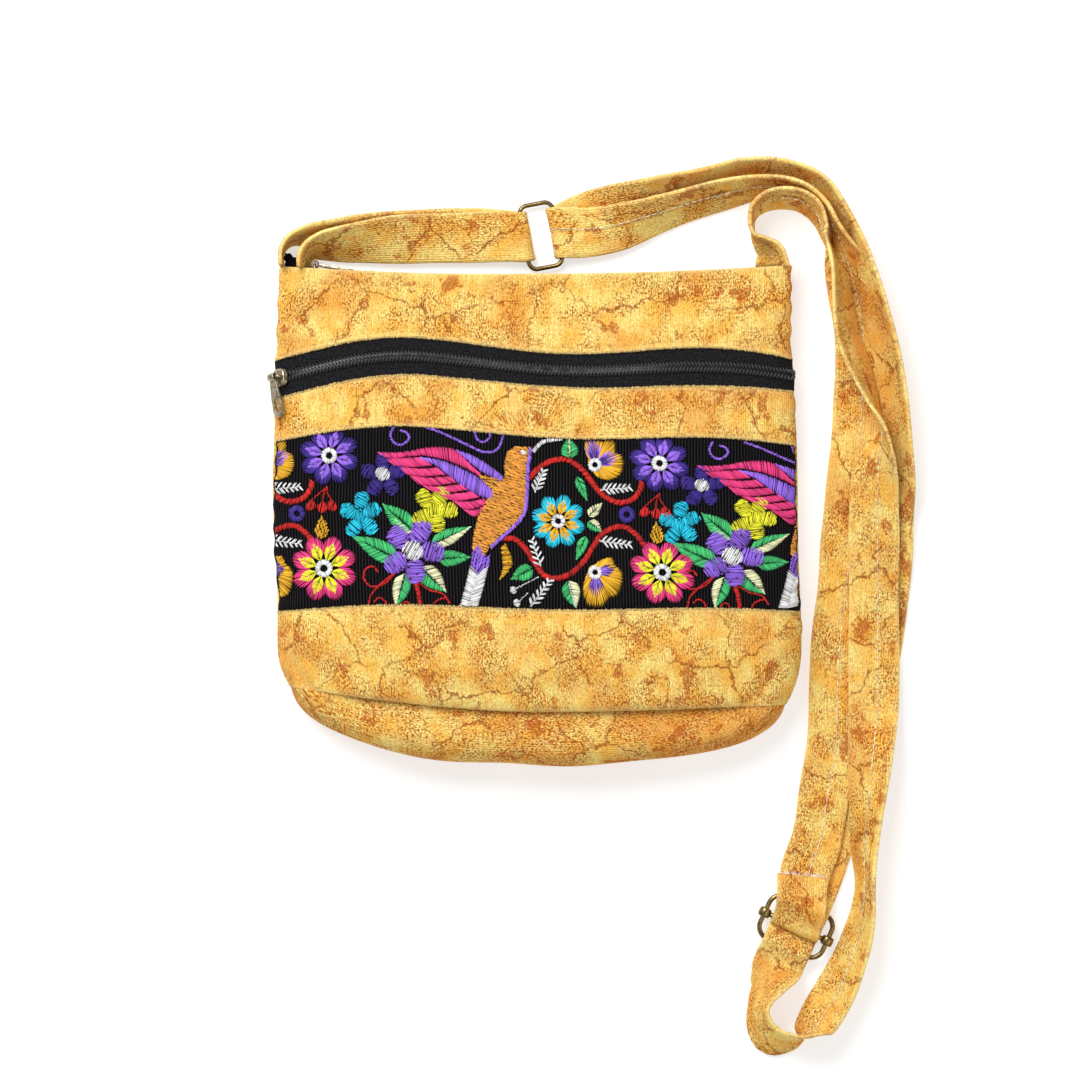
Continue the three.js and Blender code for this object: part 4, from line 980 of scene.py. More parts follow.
addPiece("strap_ring_wire", *wireLoop(ringSet), strapMetal, "strap_metal", nodes=["strap_ring"])
addPiece("slide_frame_wire", *wireLoop(slideSet), strapMetal, "strap_metal", nodes=["slide_frame"])

# Centre bar of the slide, and a collar crimped round each short side
s = slideSet
a = np.radians(s["turn"])
alongBar, crossBar = np.array([np.cos(a), np.sin(a), 0]), np.array([-np.sin(a), np.cos(a), 0])
middle = np.array([s["x"], s["y"], s["z"]])
reach = np.linspace(-1, 1, 9)[:, None] * (s["halfX"] - s["wire"] - s["barClear"])
bar = sweepPart(middle + reach * alongBar, np.broadcast_to(crossBar, (9, 3)), np.broadcast_to([0, 0, 1.0], (9, 3)),
                roundProfile(s["wire"], 16))
turn = fullTurn(24)
inner = s["wire"] + s["collarGap"]
loop = np.stack([s["collarLength"] / 2 * squared(np.cos(turn), 0.7),
                 (inner + s["collar"]) / 2 + (s["collar"] - inner) / 2 * squared(np.sin(turn), 0.9)], -1)
collars = [spinPart(loop, middle + end * s["halfX"] * alongBar, crossBar, alongBar) for end in (-1, 1)]
addPiece("slide_bar_and_collars", *joinParts([bar, *collars]), strapMetal, "strap_metal", nodes=["slide_bar"])
print("metal made")


# Straps. Each row: x, y, bearing of the width, how far the width stands up, height of what it lies on.
ringStrapOut = [
    (-123.5, 119.9, 180, 90, 0.3), (-123, 127.5, 160, 88, 0), (-118.5, 132.5, 125, 80, 0),
    (-109.5, 134.5, 100, 66, 0), (-95, 134.8, 92, 48, 0), (-70, 135.3, 90, 25, 0), (-45, 135.6, 94, 10, 0),
    (-22, 135.2, 99, 0, 0),
]
ringStrapBack = [
    (-22, 134, 99, 0, 3.4), (-45, 133.4, 94, 10, 2.6), (-70, 132.6, 91, 24, 2.4), (-93, 130.6, 92, 46, 1.2),
    (-104, 129.5, 95, 60, 0.6), (-109.5, 127.5, 112, 70, 0.3), (-112, 124, 150, 75, 0.3),
    (-112.5, 118.7, 180, 78, 0.3),
]
strapDown = [
    (113, 119.4, 0, 50, 0.5), (112.3, 126.2, 20, 62, 0), (108.5, 130.2, 60, 72, 0), (104, 134.6, 110, 82, 0),
    (102.7, 141.6, 160, 84, 0), (105, 147.4, 140, 76, 0), (110.4, 151.2, 115, 70, 0), (117, 152.6, 92, 68, 0),
    (125.6, 151.6, 75, 68, 0), (132, 147.8, 48, 70, 0), (136, 141.6, 22, 78, 0), (138.6, 133.8, 5, 87, 1),
    (142.6, 122.4, 0, 99, 6), (146, 105.6, 0, 112, 4.4), (149, 86.4, 0, 119, 3.4), (154.6, 71.5, -15, 122, 2.6),
    (161, 54.2, -25, 108, 2.6), (166, 41.8, -25, 88, 2.8), (164.4, 30.2, -8, 55, 3.4), (162.2, 16.8, 0, 27, 4.2),
    (161.8, -4.8, 0, 8, 4.8), (161.8, -36, 0, 0, 4.9), (161.8, -69.6, 0, 0, 4.9), (161.6, -93.6, 0, 8, 4.8),
    (160.3, -112.8, 0, 30, 4.6), (158.4, -136.8, 0, 46, 3.6), (157, -160.8, 0, 62, 1.2), (157.4, -177.6, 0, 71, 0),
    (156.5, -190.6, -5, 66, 0), (154.1, -202, -18, 58, 0), (150.2, -213.6, -28, 50, 0), (144.8, -226, -34, 40, 0),
    (138, -238.2, -36, 38, 0), (133.2, -245.8, -44, 48, 0), (128.4, -250.4, -66, 86, 0), (124, -252.2, -82, 107, 0),
    (118, -253.2, -88, 119, 0), (110.6, -251.4, -110, 130, 0), (106, -239.5, -165, 112, 0),
    (107.6, -232.6, -184, 116, 0), (111, -227, -195, 128, 0), (114, -222, -201, 148, 0),
]
strapUp = [
    (139, -160.8, -197, 180, 0), (145.9, -136.8, -196, 180, 0), (152.6, -112.8, -194, 180, 0),
    (158.4, -88.8, -192, 180, 0), (163.7, -60, -190, 180, 0), (167.5, -31.2, -185, 177, 0),
    (169.2, -2.4, -181, 168, 0), (171.6, 21.6, -180, 142, 0), (172.6, 40.8, -178, 122, 0.6),
    (170.8, 60, -174, 118, 2.6), (167.4, 79.2, -170, 118, 4), (162.4, 98.4, -166, 117, 5),
    (156.4, 117.6, -162, 116, 4), (149.6, 135.8, -158, 113, 0.5), (143.4, 148.3, -150, 110, 0),
    (138, 156, -130, 111, 0), (130.6, 161, -102, 116, 0), (116.2, 164.8, -88, 121, 0), (99.4, 164.6, -82, 122, 0),
    (77.8, 159.4, -75, 124, 0), (51.4, 152.6, -74, 138, 0), (34, 147, -76, 162, 0), (21, 142, -78, 178, 0),
]
strapOver = [
    (22, 136, -78, 176, 3.8), (36, 138, -75, 162, 2.6), (51.4, 142.6, -73, 140, 0.8), (65.8, 147.4, -72, 131, 0),
    (85, 153.1, -74, 125, 0), (104.2, 157.4, -82, 117, 0), (118.6, 157.8, -92, 111, 0),
    (128.6, 155.2, -110, 106, 0), (136.8, 148.6, -135, 102, 0), (143.2, 138, -157, 101, 0),
    (147.6, 124.3, -165, 135, 0), (151.6, 108, -172, 166, 0), (155, 88.8, -178, 175, 0),
    (155.6, 69.6, -180, 179, 0), (154.4, 50.4, -180, 180, 0), (153.5, 38, -180, 180, 0.6),
    (152, 21.6, -181, 180, 2.4), (149.5, -2.4, -182, 180, 2.4), (147.2, -33, -183, 180, 2.4),
    (144, -60, -184, 180, 2.4), (142.6, -84, -182, 180, 2.4), (142, -110.4, -184, 180, 2.4),
    (138, -134, -194, 180, 2.4), (134.4, -156, -202, 180, 2.5),
]
# At the slide, each row: along the strap from the bar, to the side along the bar, height
slideWeave = [
    (-19.5, 0, 4.8), (-15.5, 0, 6), (-12.2, 0, 8), (-11, 0, 8.35), (-9.4, 0, 7.7), (-3.2, 0, 2.2), (0, 0, 1),
    (3.2, 0, 2.2), (9.4, 0, 7.7), (11, 0, 8.35), (12.2, 0, 8), (15.5, 0, 5), (21, 0, 1.2),
]
slideEnd = [
    (27, -7, 3.9), (20.5, -5.6, 5), (15.5, -4, 8.3), (11, -2.2, 10.8), (6.3, -0.8, 8.3), (3.2, -0.2, 5.3),
]
slideFlap = [
    (3.2, -0.3, 9.4), (6.3, -1, 11.6), (11, -2.5, 13.4), (15.5, -4.2, 11.2), (20.5, -6.2, 7.9), (23.5, -7.3, 7),
]
# The strength and width of the pale painted highlight along the strap's edges are among these.
strapSet = {
    "half": 12.25, "skin": 1.0, "step": 2.0, "edge": 1.1, "edgeFade": 2.0, "middle": 0.84, "seam": 0.42,
    "seamWide": 0.8, "seamSteps": [-2.6, -0.7, 0.7, 2.6], "soft": 0.22, "softEnd": 12.8, "edgeHighlight": 0.7,
    "highlightWidth": 0.8, "foldGap": 0.5, "stitch": 3.0, "stitchStep": 3.3, "stitchAside": 1.7, "stitchWide": 0.3,
    "stitchThick": 0.22, "stitchLift": [-0.25, 0.1, 0.2, 0.1, -0.25], "stitchFrom": 12.0, "longShort": 30.0,
    "ringEnd": 240.0,
}


# Rows with the height of the strap's middle: what it lies on and its own half width or skin, by how it stands
def laidRows(rows):
    r = np.array(rows, float)
    rise = np.radians(r[:, 3])
    z = r[:, 4] + strapSet["half"] * np.abs(np.sin(rise)) + strapSet["skin"] * np.abs(np.cos(rise))
    return np.column_stack([r[:, 0], r[:, 1], z, r[:, 2], r[:, 3]])


# Half turn round a bar of the ring, from below it to above it, moved aside along the bar if asked
def ringFold(sign, bearing, rise, aside=0.0):
    s = ringSet
    a = np.radians(s["turn"])
    radius = s["wire"] + strapSet["foldGap"] + strapSet["skin"]
    turn = np.pi * (np.arange(5) / 4 - 0.5)
    reach = sign * s["halfX"] - sign * radius * np.cos(turn)
    z = s["z"] + radius * np.sin(turn)
    x, y = reach * np.cos(a) - aside * np.sin(a), reach * np.sin(a) + aside * np.cos(a)
    return np.column_stack([s["x"] + x, s["y"] + y, z, bearing + 0 * z, rise + 0 * z])


def slideRows(rows):
    r = np.array(rows, float)
    a = np.radians(slideSet["turn"])
    x = slideSet["x"] + r[:, 1] * np.cos(a) - r[:, 0] * np.sin(a)
    y = slideSet["y"] + r[:, 1] * np.sin(a) + r[:, 0] * np.cos(a)
    width = np.broadcast_to([slideSet["turn"] - 180, 180.0], (len(r), 2))
    return np.column_stack([x, y, r[:, 2], width])


# Three quarters of a turn round the slide's bar
def barWrap():
    radius = slideSet["wire"] + seamGap + strapSet["skin"]
    turn = np.radians(np.linspace(-45, -270, 6))
    return slideRows(np.column_stack([radius * np.cos(turn), 0 * turn, slideSet["z"] + radius * np.sin(turn)]))


# Places along a strap with the direction of its width and of its face; it never sinks below the floor
def strapFrames(rows):
    s = strapSet
    gaps = np.linalg.norm(np.diff(rows[:, :3], axis=0), axis=1)
    steps = np.maximum(1, np.round(gaps / s["step"])).astype(int)
    at = np.concatenate([k + np.arange(n) / n for k, n in enumerate(steps)] + [[len(rows) - 1.0]])
    place, along = curveThrough(rows[:, :3], at)
    turns = np.radians(tableAt(np.column_stack([np.arange(len(rows)), rows[:, 3:]]), at))
    bearing, rise = turns[:, 0], turns[:, 1]
    across = np.stack([np.cos(rise) * np.cos(bearing), np.cos(rise) * np.sin(bearing), np.sin(rise)], -1)
    across = unit(across - along * np.sum(across * along, -1, keepdims=True))
    out = np.cross(along, across)
    place[:, 2] = np.maximum(place[:, 2], s["half"] * np.abs(across[:, 2]) + s["skin"] * np.abs(out[:, 2]))
    return place, along, across, out


# Section of the strap: a flat tube of folded cloth, thick rounded edges, a sewn groove down one face
def strapSection():
    s = strapSet
    inner = s["half"] - s["edge"]
    flat = np.sort(np.concatenate([np.linspace(-1, 1, 13) * inner, s["seamSteps"]]))
    thick = s["middle"] + (s["edge"] - s["middle"]) * np.exp(-((inner - np.abs(flat)) / s["edgeFade"]) ** 2)
    upper = thick - s["seam"] * np.exp(-(flat / s["seamWide"]) ** 2)
    turn = np.radians([-60, -30, 0, 30, 60])
    rim = np.stack([inner + s["edge"] * np.cos(turn), s["edge"] * np.sin(turn)], -1)
    return np.concatenate([np.stack([flat, -thick], -1), rim, np.stack([flat, upper], -1)[::-1], -rim])


# Width and face waver a little along the strap
def strapPiece(name, rows, node, patternShift):
    s = strapSet
    place, along, across, out = strapFrames(rows)
    run = runLength(place[None], 1)[0]
    wide = 1 + 0.016 * np.sin(run / 7.3 + 1.3 * np.sin(run / 31)) + 0.012 * np.sin(run / 17 + 2)
    profile = strapSection()[None] * np.stack([wide, 0 * wide + 1], -1)[:, None]
    flat = profile[..., 0]
    wave = s["soft"] * np.sin(run / 11 + 1.1 * np.sin(run / 37))
    profile[..., 1] += wave[:, None] * np.cos(flat / 5.1 + (run / 23)[:, None]) * (1 - (flat / s["softEnd"]) ** 2)
    points, faces = sweepPart(place, across, out, profile)
    uv = np.stack([flat + patternShift, run[:, None] + 0 * flat], -1)
    # A pale painted highlight along both edges of the strap.
    edgeHighlight = np.exp(-(s["half"] - np.abs(flat)) / s["highlightWidth"]) * s["edgeHighlight"]
    piece = addPiece(name, points, faces, printedCloth, "printed_cloth", uv=uv, values={"edgeHighlight": edgeHighlight}, nodes=[node])
    return piece, (place, along, across, out, run)


# A line of dashes beside the sewn groove
def strapStitches(frames, end):
    s = strapSet
    place, _, across, out, run = frames
    at = np.arange(s["stitchFrom"], end, s["stitchStep"])[:, None] + s["stitch"] * stitchSteps
    p, c, o = (alongRun(at, run, v) for v in (place, across, out))
    axis = p + c * s["stitchAside"] + o * (s["middle"] + np.array(s["stitchLift"]))[:, None]
    return threadPart(axis, o, s["stitchWide"], s["stitchThick"])


ringStrapRows = np.concatenate([
    laidRows(ringStrapOut), ringFold(-1, 90 + ringSet["turn"], 0.0, 1.0), laidRows(ringStrapBack)])
longRows = np.concatenate([
    laidRows(strapDown), slideRows(slideWeave), laidRows(strapUp), ringFold(1, ringSet["turn"] - 90, 180.0),
    laidRows(strapOver), slideRows(slideEnd), barWrap(), slideRows(slideFlap)])
ringStrap, ringFrames = strapPiece("ring_strap_cloth", ringStrapRows, "ring_strap", 700.0)
longStrap, longFrames = strapPiece("shoulder_strap_cloth", longRows, "shoulder_strap", 900.0)
for piece, frames, metal in ((ringStrap, ringFrames, ["strap_ring_wire"]),
                             (longStrap, longFrames, ["strap_ring_wire", "slide_frame_wire"])):
    print(piece.name, "is", round(float(frames[4][-1])), "mm long")
addThreads("strap_seam_stitches", [
    strapStitches(longFrames, longFrames[4][-1] - strapSet["longShort"]),
    strapStitches(ringFrames, strapSet["ringEnd"])], paleThread, 0.3)

# Frayed threads along the cut end of the flap
fraySet = {
    "count": 110, "long": (1.2, 3.6), "wide": 0.13, "aside": 12.0, "root": 0.8, "sag": 0.12, "shade": 0.9,
    "stray": (0, 0.35), "lift": (0.1, 0.22), "depth": (-0.6, 0.7), "uneven": (0.7, 1.2),
}
s = fraySet
n = (s["count"], 1)
place, along, across, out = (v[-1] for v in longFrames[:4])
aside = rng.uniform(-s["aside"], s["aside"], n)
heading = unit(along + across * rng.normal(*s["stray"], n) + out * rng.normal(*s["lift"], n))
root = place + across * aside + out * rng.uniform(*s["depth"], n) - along * s["root"]
t = fibreSteps[:, None]
length = rng.uniform(*s["long"], n)[..., None]
sag = np.array([0, 0, -s["sag"]]) * (t * length) ** 2 * rng.uniform(0, 1, n)[..., None]
axis = root[:, None] + heading[:, None] * t * length + sag
wide = s["wide"] * rng.uniform(*s["uneven"], s["count"])
points, faces = threadPart(axis, np.broadcast_to(out, axis.shape), wide, wide)
addPiece("flap_frayed_threads", points, faces, whiteThread, "printed_cloth",
         values={"shade": np.full(len(points), s["shade"])})
print("straps made")


# A line along a seam of the front, at a distance above it or, with minus, below it; and the run along the line
def seamPath(name, end, away=0.0):
    u = np.linspace(-end, end, 1600)
    path = frontAt(u, seamLevel(frontAt, u, name) + away)
    return path, runLength(path[None], 1)[0]


# Topstitching: dashes in the sewn grooves
topstitchSet = {
    "stitch": 2.4, "step": 3.3, "wide": 0.3, "thick": 0.22, "end": 0.985, "lift": [-0.25, 0.06, 0.14, 0.06, -0.25],
}


def topstitches(name, away):
    s = topstitchSet
    path, run = seamPath(name, s["end"], away)
    at = np.arange(0, run[-1] - s["step"], s["step"])[:, None] + s["stitch"] * stitchSteps
    x, y = np.interp(at, run, path[:, 0]), np.interp(at, run, path[:, 1])
    axis, normal = onCloth(x, y, s["lift"] + 0 * x)
    return threadPart(axis, normal, s["wide"], s["thick"])


addThreads("front_topstitching", [topstitches(*groove[:2]) for groove in wrinkleSet["grooves"]], goldThread, 0.2)

# Nap of the folded edges: short fibres that lie out over the tapes and the band
napSet = {
    "edges": [("zipTop", -1), ("zipBottom", 1), ("bandTop", -1), ("bandBottom", 1)], "step": 0.4, "long": (0.1, 0.7),
    "wide": 0.2, "end": 0.98, "root": 0.9, "stray": 0.25, "lift": [-0.1, 0.12, 0.14, 0.05, -0.1],
    "uneven": (0.7, 1.3),
}


def napFibres(name, sign):
    s = napSet
    path, run = seamPath(name, s["end"])
    at = np.arange(0, run[-1], s["step"])[:, None]
    n = len(at)
    long = s["root"] + rng.uniform(*s["long"], (n, 1))
    x = np.interp(at, run, path[:, 0]) + rng.normal(0, s["stray"], (n, 1)) * fibreSteps
    y = np.interp(at, run, path[:, 1]) + sign * (long * fibreSteps - s["root"])
    axis, normal = onCloth(x, y, s["lift"] + 0 * x)
    return threadPart(axis, normal, s["wide"] * rng.uniform(*s["uneven"], n), s["wide"])


addThreads("folded_edge_nap", [napFibres(*edge) for edge in napSet["edges"]], napThread, 0.2)
print("topstitching made")


# Embroidery. The chart is drawn in its own units about the middle of the band's field. Each group of motifs is
# sewn at its own places along the band: moved across, leant, moved up and drawn in.
chartSet = {
    "unit": 0.48, "pitch": 1.25, "wide": 0.31, "thick": 0.22, "lift": 0.16, "layer": 0.22, "bulge": 0.3, "full": 4.0,
    "loose": 0.26, "uneven": 0.03, "stagger": 0.37, "shortest": 0.8, "margin": 0.3, "side": 0.99, "shade": (0.68, 0.26),
    "steps": [0, 0.14, 0.5, 0.86, 1.0], "arch": [-0.12, 0.55, 1.0, 0.55, -0.12], "width": (0.85, 1.12),
}
places = {  # across, lean, up, height
    "large": [(0, 0, 0, 1), (333.4, -0.066, -5.9, 0.965)],
    "bird": [(0, 0, 0, 1), (318, 0, -8.3, 0.92)],
    "side": [(-329, 0, 1, 1), (0, 0, 0, 1)],
}
dyes = {
    "indigo": (52, 32, 126), "violet": (140, 96, 216), "magenta": (232, 52, 116), "yellow": (252, 214, 38),
    "orange": (255, 150, 54), "amber": (255, 162, 28), "red": (186, 26, 20), "green": (58, 176, 100),
    "cream": (238, 232, 172), "ember": (250, 130, 50), "umber": (92, 36, 14), "white": (250, 250, 246),
    "turquoise": (24, 186, 224),
}
sewn = {dye: [] for dye in dyes}


# Threads from starts to ends, at every place of the group in hand
def sew(dye, start, end, layer):
    ends = [np.asarray(p, float) + rng.normal(0, chartSet["loose"], np.shape(p)) for p in (start, end)]
    for across, lean, up, tall in places[group]:
        moved = [np.stack([p[:, 0] + across + lean * p[:, 1], up + tall * p[:, 1]], -1) for p in ends]
        sewn[dye].append(np.column_stack([*moved, np.full(len(ends[0]), float(layer))]))


def spread(points, n):  # n points evenly along a smooth line through the given ones
    points = np.asarray(points, float)
    fine = curveThrough(points, np.linspace(0, len(points) - 1, 40 * len(points)))[0] if len(points) > 2 else points
    run = runLength(fine[None], 1)[0]
    return alongRun(np.linspace(0, run[-1], n), run, fine)


def lineLength(points):
    return np.sum(np.linalg.norm(np.diff(spread(points, 60), axis=0), axis=1))


# Satin: threads across from one rail to the other; skew moves the second end along its rail
def satin(dye, railA, railB, layer, skew=0.0):
    n = max(4, int(max(lineLength(railA), lineLength(railB)) / chartSet["pitch"]))
    fine = 400
    t = (np.arange(n) + 0.5) / n
    pickA, pickB = (np.round(np.clip(at, 0, 1) * (fine - 1)).astype(int) for at in (t, t + skew))
    sew(dye, spread(railA, fine)[pickA], spread(railB, fine)[pickB], layer)


# A line covered by short slanted threads
def vine(dye, points, width, layer, slant=0.5):
    p = spread(points, max(4, int(lineLength(points) / chartSet["pitch"])))
    along = unit(np.gradient(p, axis=0))
    reach = np.stack([-along[:, 1], along[:, 0]], -1) + slant * along
    sew(dye, p - reach * width / 2, p + reach * width / 2, layer)


# Parallel threads inside an outline; long ones are broken into stitches whose ends move along from row to row
def fillShape(dye, outline, degrees, layer, longest=60.0, pitch=1.25, gap=0.0):
    p = np.asarray(outline, float)
    a = np.radians(degrees)
    along, across = np.array([np.cos(a), np.sin(a)]), np.array([-np.sin(a), np.cos(a)])
    s, h = p @ along, p @ across
    s2, h2 = np.roll(s, -1), np.roll(h, -1)
    rows = np.arange(h.min() + 0.5, h.max(), pitch)[:, None]
    cut = (rows - h) / np.where(np.abs(h2 - h) < 1e-9, 1e-9, h2 - h)
    at = np.where((cut >= 0) & (cut < 1), s + (s2 - s) * cut, np.nan)
    low, high = np.nanmin(at, 1)[:, None], np.nanmax(at, 1)[:, None]
    count = int(np.ceil((high.max() - low.min()) / longest)) + 1
    moved = (np.arange(len(rows))[:, None] * chartSet["stagger"]) % 1
    begin = low.min() + (np.arange(-1, count)[None] + moved) * longest
    first, last = np.maximum(begin + gap / 2, low), np.minimum(begin + longest - gap / 2, high)
    keep = last - first > chartSet["shortest"]
    row = np.broadcast_to(rows, keep.shape)[keep][:, None]
    sew(dye, first[keep][:, None] * along + row * across, last[keep][:, None] * along + row * across, layer)


# Outline of a round or squared patch, turned
def circle(middle, wide, tall=None, degrees=0.0, square=1.0):
    turn, a = fullTurn(36), np.radians(degrees)
    x, y = wide * squared(np.cos(turn), square), (tall or wide) * squared(np.sin(turn), square)
    return np.stack([middle[0] + x * np.cos(a) - y * np.sin(a), middle[1] + x * np.sin(a) + y * np.cos(a)], -1)


# Threads from an inner radius to an outer one
def radial(dye, middle, inner, outer, turn, layer):
    facing = np.stack([np.cos(turn), np.sin(turn)], -1)
    sew(dye, middle + facing * inner, middle + facing * np.asarray(outer)[..., None], layer)


# A ring of threads round an open middle
def eyeRing(dye, middle, outer, inner, layer):
    n = int(2 * np.pi * outer / 1.15)
    radial(dye, np.array(middle), inner, np.full(n, outer), fullTurn(n), layer)


# Eight-petal flower: lobes of radial threads with a gap between them, a slim petal on each, a ring in the middle
def flower(middle, radius, outerDye, innerDye, spin, layer):
    middle = np.array(middle, float)
    n = int(2 * np.pi * radius * 0.85 / chartSet["pitch"])
    turn = 2 * np.pi * (np.arange(n) + 0.5) / n
    lobe = np.abs(np.cos(4 * (turn - spin)))
    lobe, turn = lobe[lobe > 0.09], turn[lobe > 0.09]
    radial(outerDye, middle, 0.4 * radius, radius * (0.63 + 0.38 * lobe ** 0.5), turn, layer)
    for facing in spin + np.arange(8) * np.pi / 4:
        along = radius * np.array([np.cos(facing), np.sin(facing)])
        leaf(middle + 0.22 * along, middle + 0.8 * along, 0.34 * radius, innerDye, innerDye, layer + 1, 0.34, 1.0, 1.4)
    eyeRing("white", middle, 0.27 * radius, 0.1 * radius, layer + 2)


# Round-petalled flower: each petal a disc of parallel threads, laid at its own angle
def discFlower(middle, petals, radius, dye, layer, eye=None):
    for k, petal in enumerate(petals):
        d = np.subtract(petal, middle)
        facing = np.degrees(np.arctan2(d[1], d[0]))
        fillShape(dye, circle(petal, radius, radius * 0.95, facing, 0.72), facing + 62 + 7 * k, layer, pitch=1.4)
    if eye:
        fillShape("white", circle(middle, eye), 62, layer + 1, pitch=1.4)


# Leaf in two halves: threads from the midrib forward to the edge, one dye for the left half and one for the right
def leaf(start, end, width, leftDye, rightDye, layer, lean=0.2, pitch=1.3, swell=0.85):
    a, d = np.array(start, float), np.subtract(end, start).astype(float)
    length = np.hypot(*d)
    side = np.array([-d[1], d[0]]) / length
    n = max(6, int(length / pitch))
    s = ((np.arange(n) + 0.5) / n)[:, None]
    t = np.clip(s + lean * (1 - s * 0.6), 0, 1)
    half = width / 2 * np.sin(np.pi * np.clip(0.1 + 0.9 * t, 0, 1) ** swell)
    for dye, sign in ((leftDye, 1), (rightDye, -1)):
        if dye:
            sew(dye, a + d * s, a + d * t + side * sign * half, layer)


# Sprig: a thin stem with short thick leaves in pairs
def sprig(start, end, pairs, long, layer):
    a, d = np.array(start, float), np.subtract(end, start).astype(float)
    along = d / np.hypot(*d)
    vine("white", [start, end], 1.6, layer)
    for sign, first in ((1, 0.05), (-1, 0.13)):
        t = np.repeat(np.linspace(first, first + 0.85, pairs), 2)[:, None]
        root = a + d * t + along * np.tile([-0.55, 0.55], pairs)[:, None]
        lean = along * 0.66 + sign * 0.8 * np.array([-along[1], along[0]])
        sew("white", root, root + lean * long * (1 - 0.4 * t), layer)


# Pansy: threads from the eye out to a scalloped edge, given by bearing and reach; dark wedges; a ring round the eye
def pansy(eye, edge, wedges, layer):
    turn = 2 * np.pi * (np.arange(124) + 0.5) / 124 - np.pi
    bearing, reach = np.array(edge, float).T
    radial("amber", np.array(eye), 4.0, np.interp(np.degrees(turn), bearing, reach), turn, layer)
    for bearing, reach, *pair in wedges:
        for dye, share, count, high in zip(pair, (1.0, 0.8), (10, 6), (1, 2)):
            fan = np.linspace(-1, 1, count)
            outer, turn = share * reach * (1 - 0.3 * np.abs(fan)), np.radians(bearing + 26 * share * fan)
            radial(dye, np.array(eye), 5.0, outer, turn, layer + high)
    eyeRing("white", eye, 7.2, 2.5, layer + 3)


# Left and right of the field: two large flowers, berries and a bud
group = "large"
for berry in ((-226.8, 8.9), (-214.8, 7.2), (-205.3, 8.9)):
    vine("red", [(-210.5, 28), ((berry[0] - 211) / 2 - 1, 20), (berry[0], berry[1] + 5)], 1.5, 1)
    fillShape("red", circle(berry, 6.2, 4.9, np.degrees(np.arctan2(berry[1] - 28, berry[0] + 210.5))), 80, 2)
bud = [(-215.6, 0), (-220, -8), (-223, -15), (-221, -22), (-216, -24), (-211, -22), (-208.4, -15), (-211, -8)]
fillShape("amber", bud, 86, 2, 8, 1.3, 0.4)
flower((-208.3, 59.2), 31, "indigo", "violet", 0.49, 2)
flower((-213.1, -53.4), 34, "magenta", "yellow", 0.43, 2)

# Middle of the field: small flowers, leaves, curls and the bird
group = "bird"
leaves = [  # start, end, width, left, right
    ((-125, -15), (-155, 11), 21, "green", "green"), ((-123, -17), (-146, 0), 16, "cream", None),
    ((-138, -45), (-185.5, -21), 22, "green", "green"),
    ((-107, -30), (-66.7, -11.8), 17, "green", "cream"), ((-101, -44), (-66.7, -42), 17, "green", "green"),
    ((-117, -52), (-91, -77), 22, "cream", "green"), ((-132, -58), (-141.6, -92.7), 19, "green", "cream"),
]
for row in leaves:
    leaf(*row, 0)
curls = [  # dye, width, line
    ("violet", 2.7, [(-144, 88), (-147, 79.5), (-142.5, 71), (-135, 70), (-128.7, 76), (-130, 81), (-136.4, 84)]),
    ("violet", 2.7, [(-111.5, 88), (-90.8, 79.5), (-68.4, 69), (-54.6, 63), (-42.6, 64), (-36.6, 72.6),
                     (-34.8, 80.4)]),
    ("violet", 2.7, [(-63, 83), (-60.7, 76), (-54.6, 72.6), (-47.7, 78), (-48.5, 82)]),
    ("red", 2.2, [(-142.5, -58), (-153, -68.6), (-166.6, -71), (-173.5, -63.4), (-171.7, -54), (-164, -51.4),
                  (-159.7, -56.5)]),
    ("red", 2.2, [(-142.5, -57.4), (-158, -70.3), (-166.6, -80.6), (-169, -92.7)]),
    ("red", 2.0, [(-163, -85.8), (-158, -82.4), (-151, -87.5), (-152, -92.7)]),
    ("red", 5.0, [(-121.8, -67), (-118.5, -80), (-116.6, -92.7)]),
    ("red", 2.2, [(-120, -67), (-108, -74.6), (-94, -79), (-88, -87.5)]),
    ("red", 2.0, [(-104.6, -92), (-103, -87.5), (-98, -84), (-93, -83)]),
    ("red", 2.0, [(-136, -92.5), (-134, -87.5), (-129, -87), (-127, -91)]),
]
for dye, width, line in curls:
    vine(dye, line, width, 1)
discFlowers = [  # middle, petals, radius, dye, layer, white eye
    ((-155, 41), [(-168.3, 43.4), (-162.3, 27.5), (-146.3, 28.2), (-140.5, 43.4), (-154.6, 53.7)],
     8.4, "indigo", 2, 7.7),
    ((-176, -1.4), [(-175.7, 15), (-189.3, 3.8), (-164.9, 4.6), (-183.8, -13.4), (-167.5, -11.7), (-176, -1.4)],
     8.4, "turquoise", 2),
    ((-102, 5), [(-113.3, 16.7), (-96.9, 19.3), (-89.2, 4.6), (-115.8, -3.1), (-100.3, -8.3), (-103, 5)],
     9.2, "yellow", 2),
    ((-124.4, -35.8), [(-139.1, -22), (-116.7, -16.9), (-104.6, -36.7), (-121.9, -56.5), (-141.7, -47.9)],
     11.6, "violet", 3, 10.8),
]
for row in discFlowers:
    discFlower(*row)

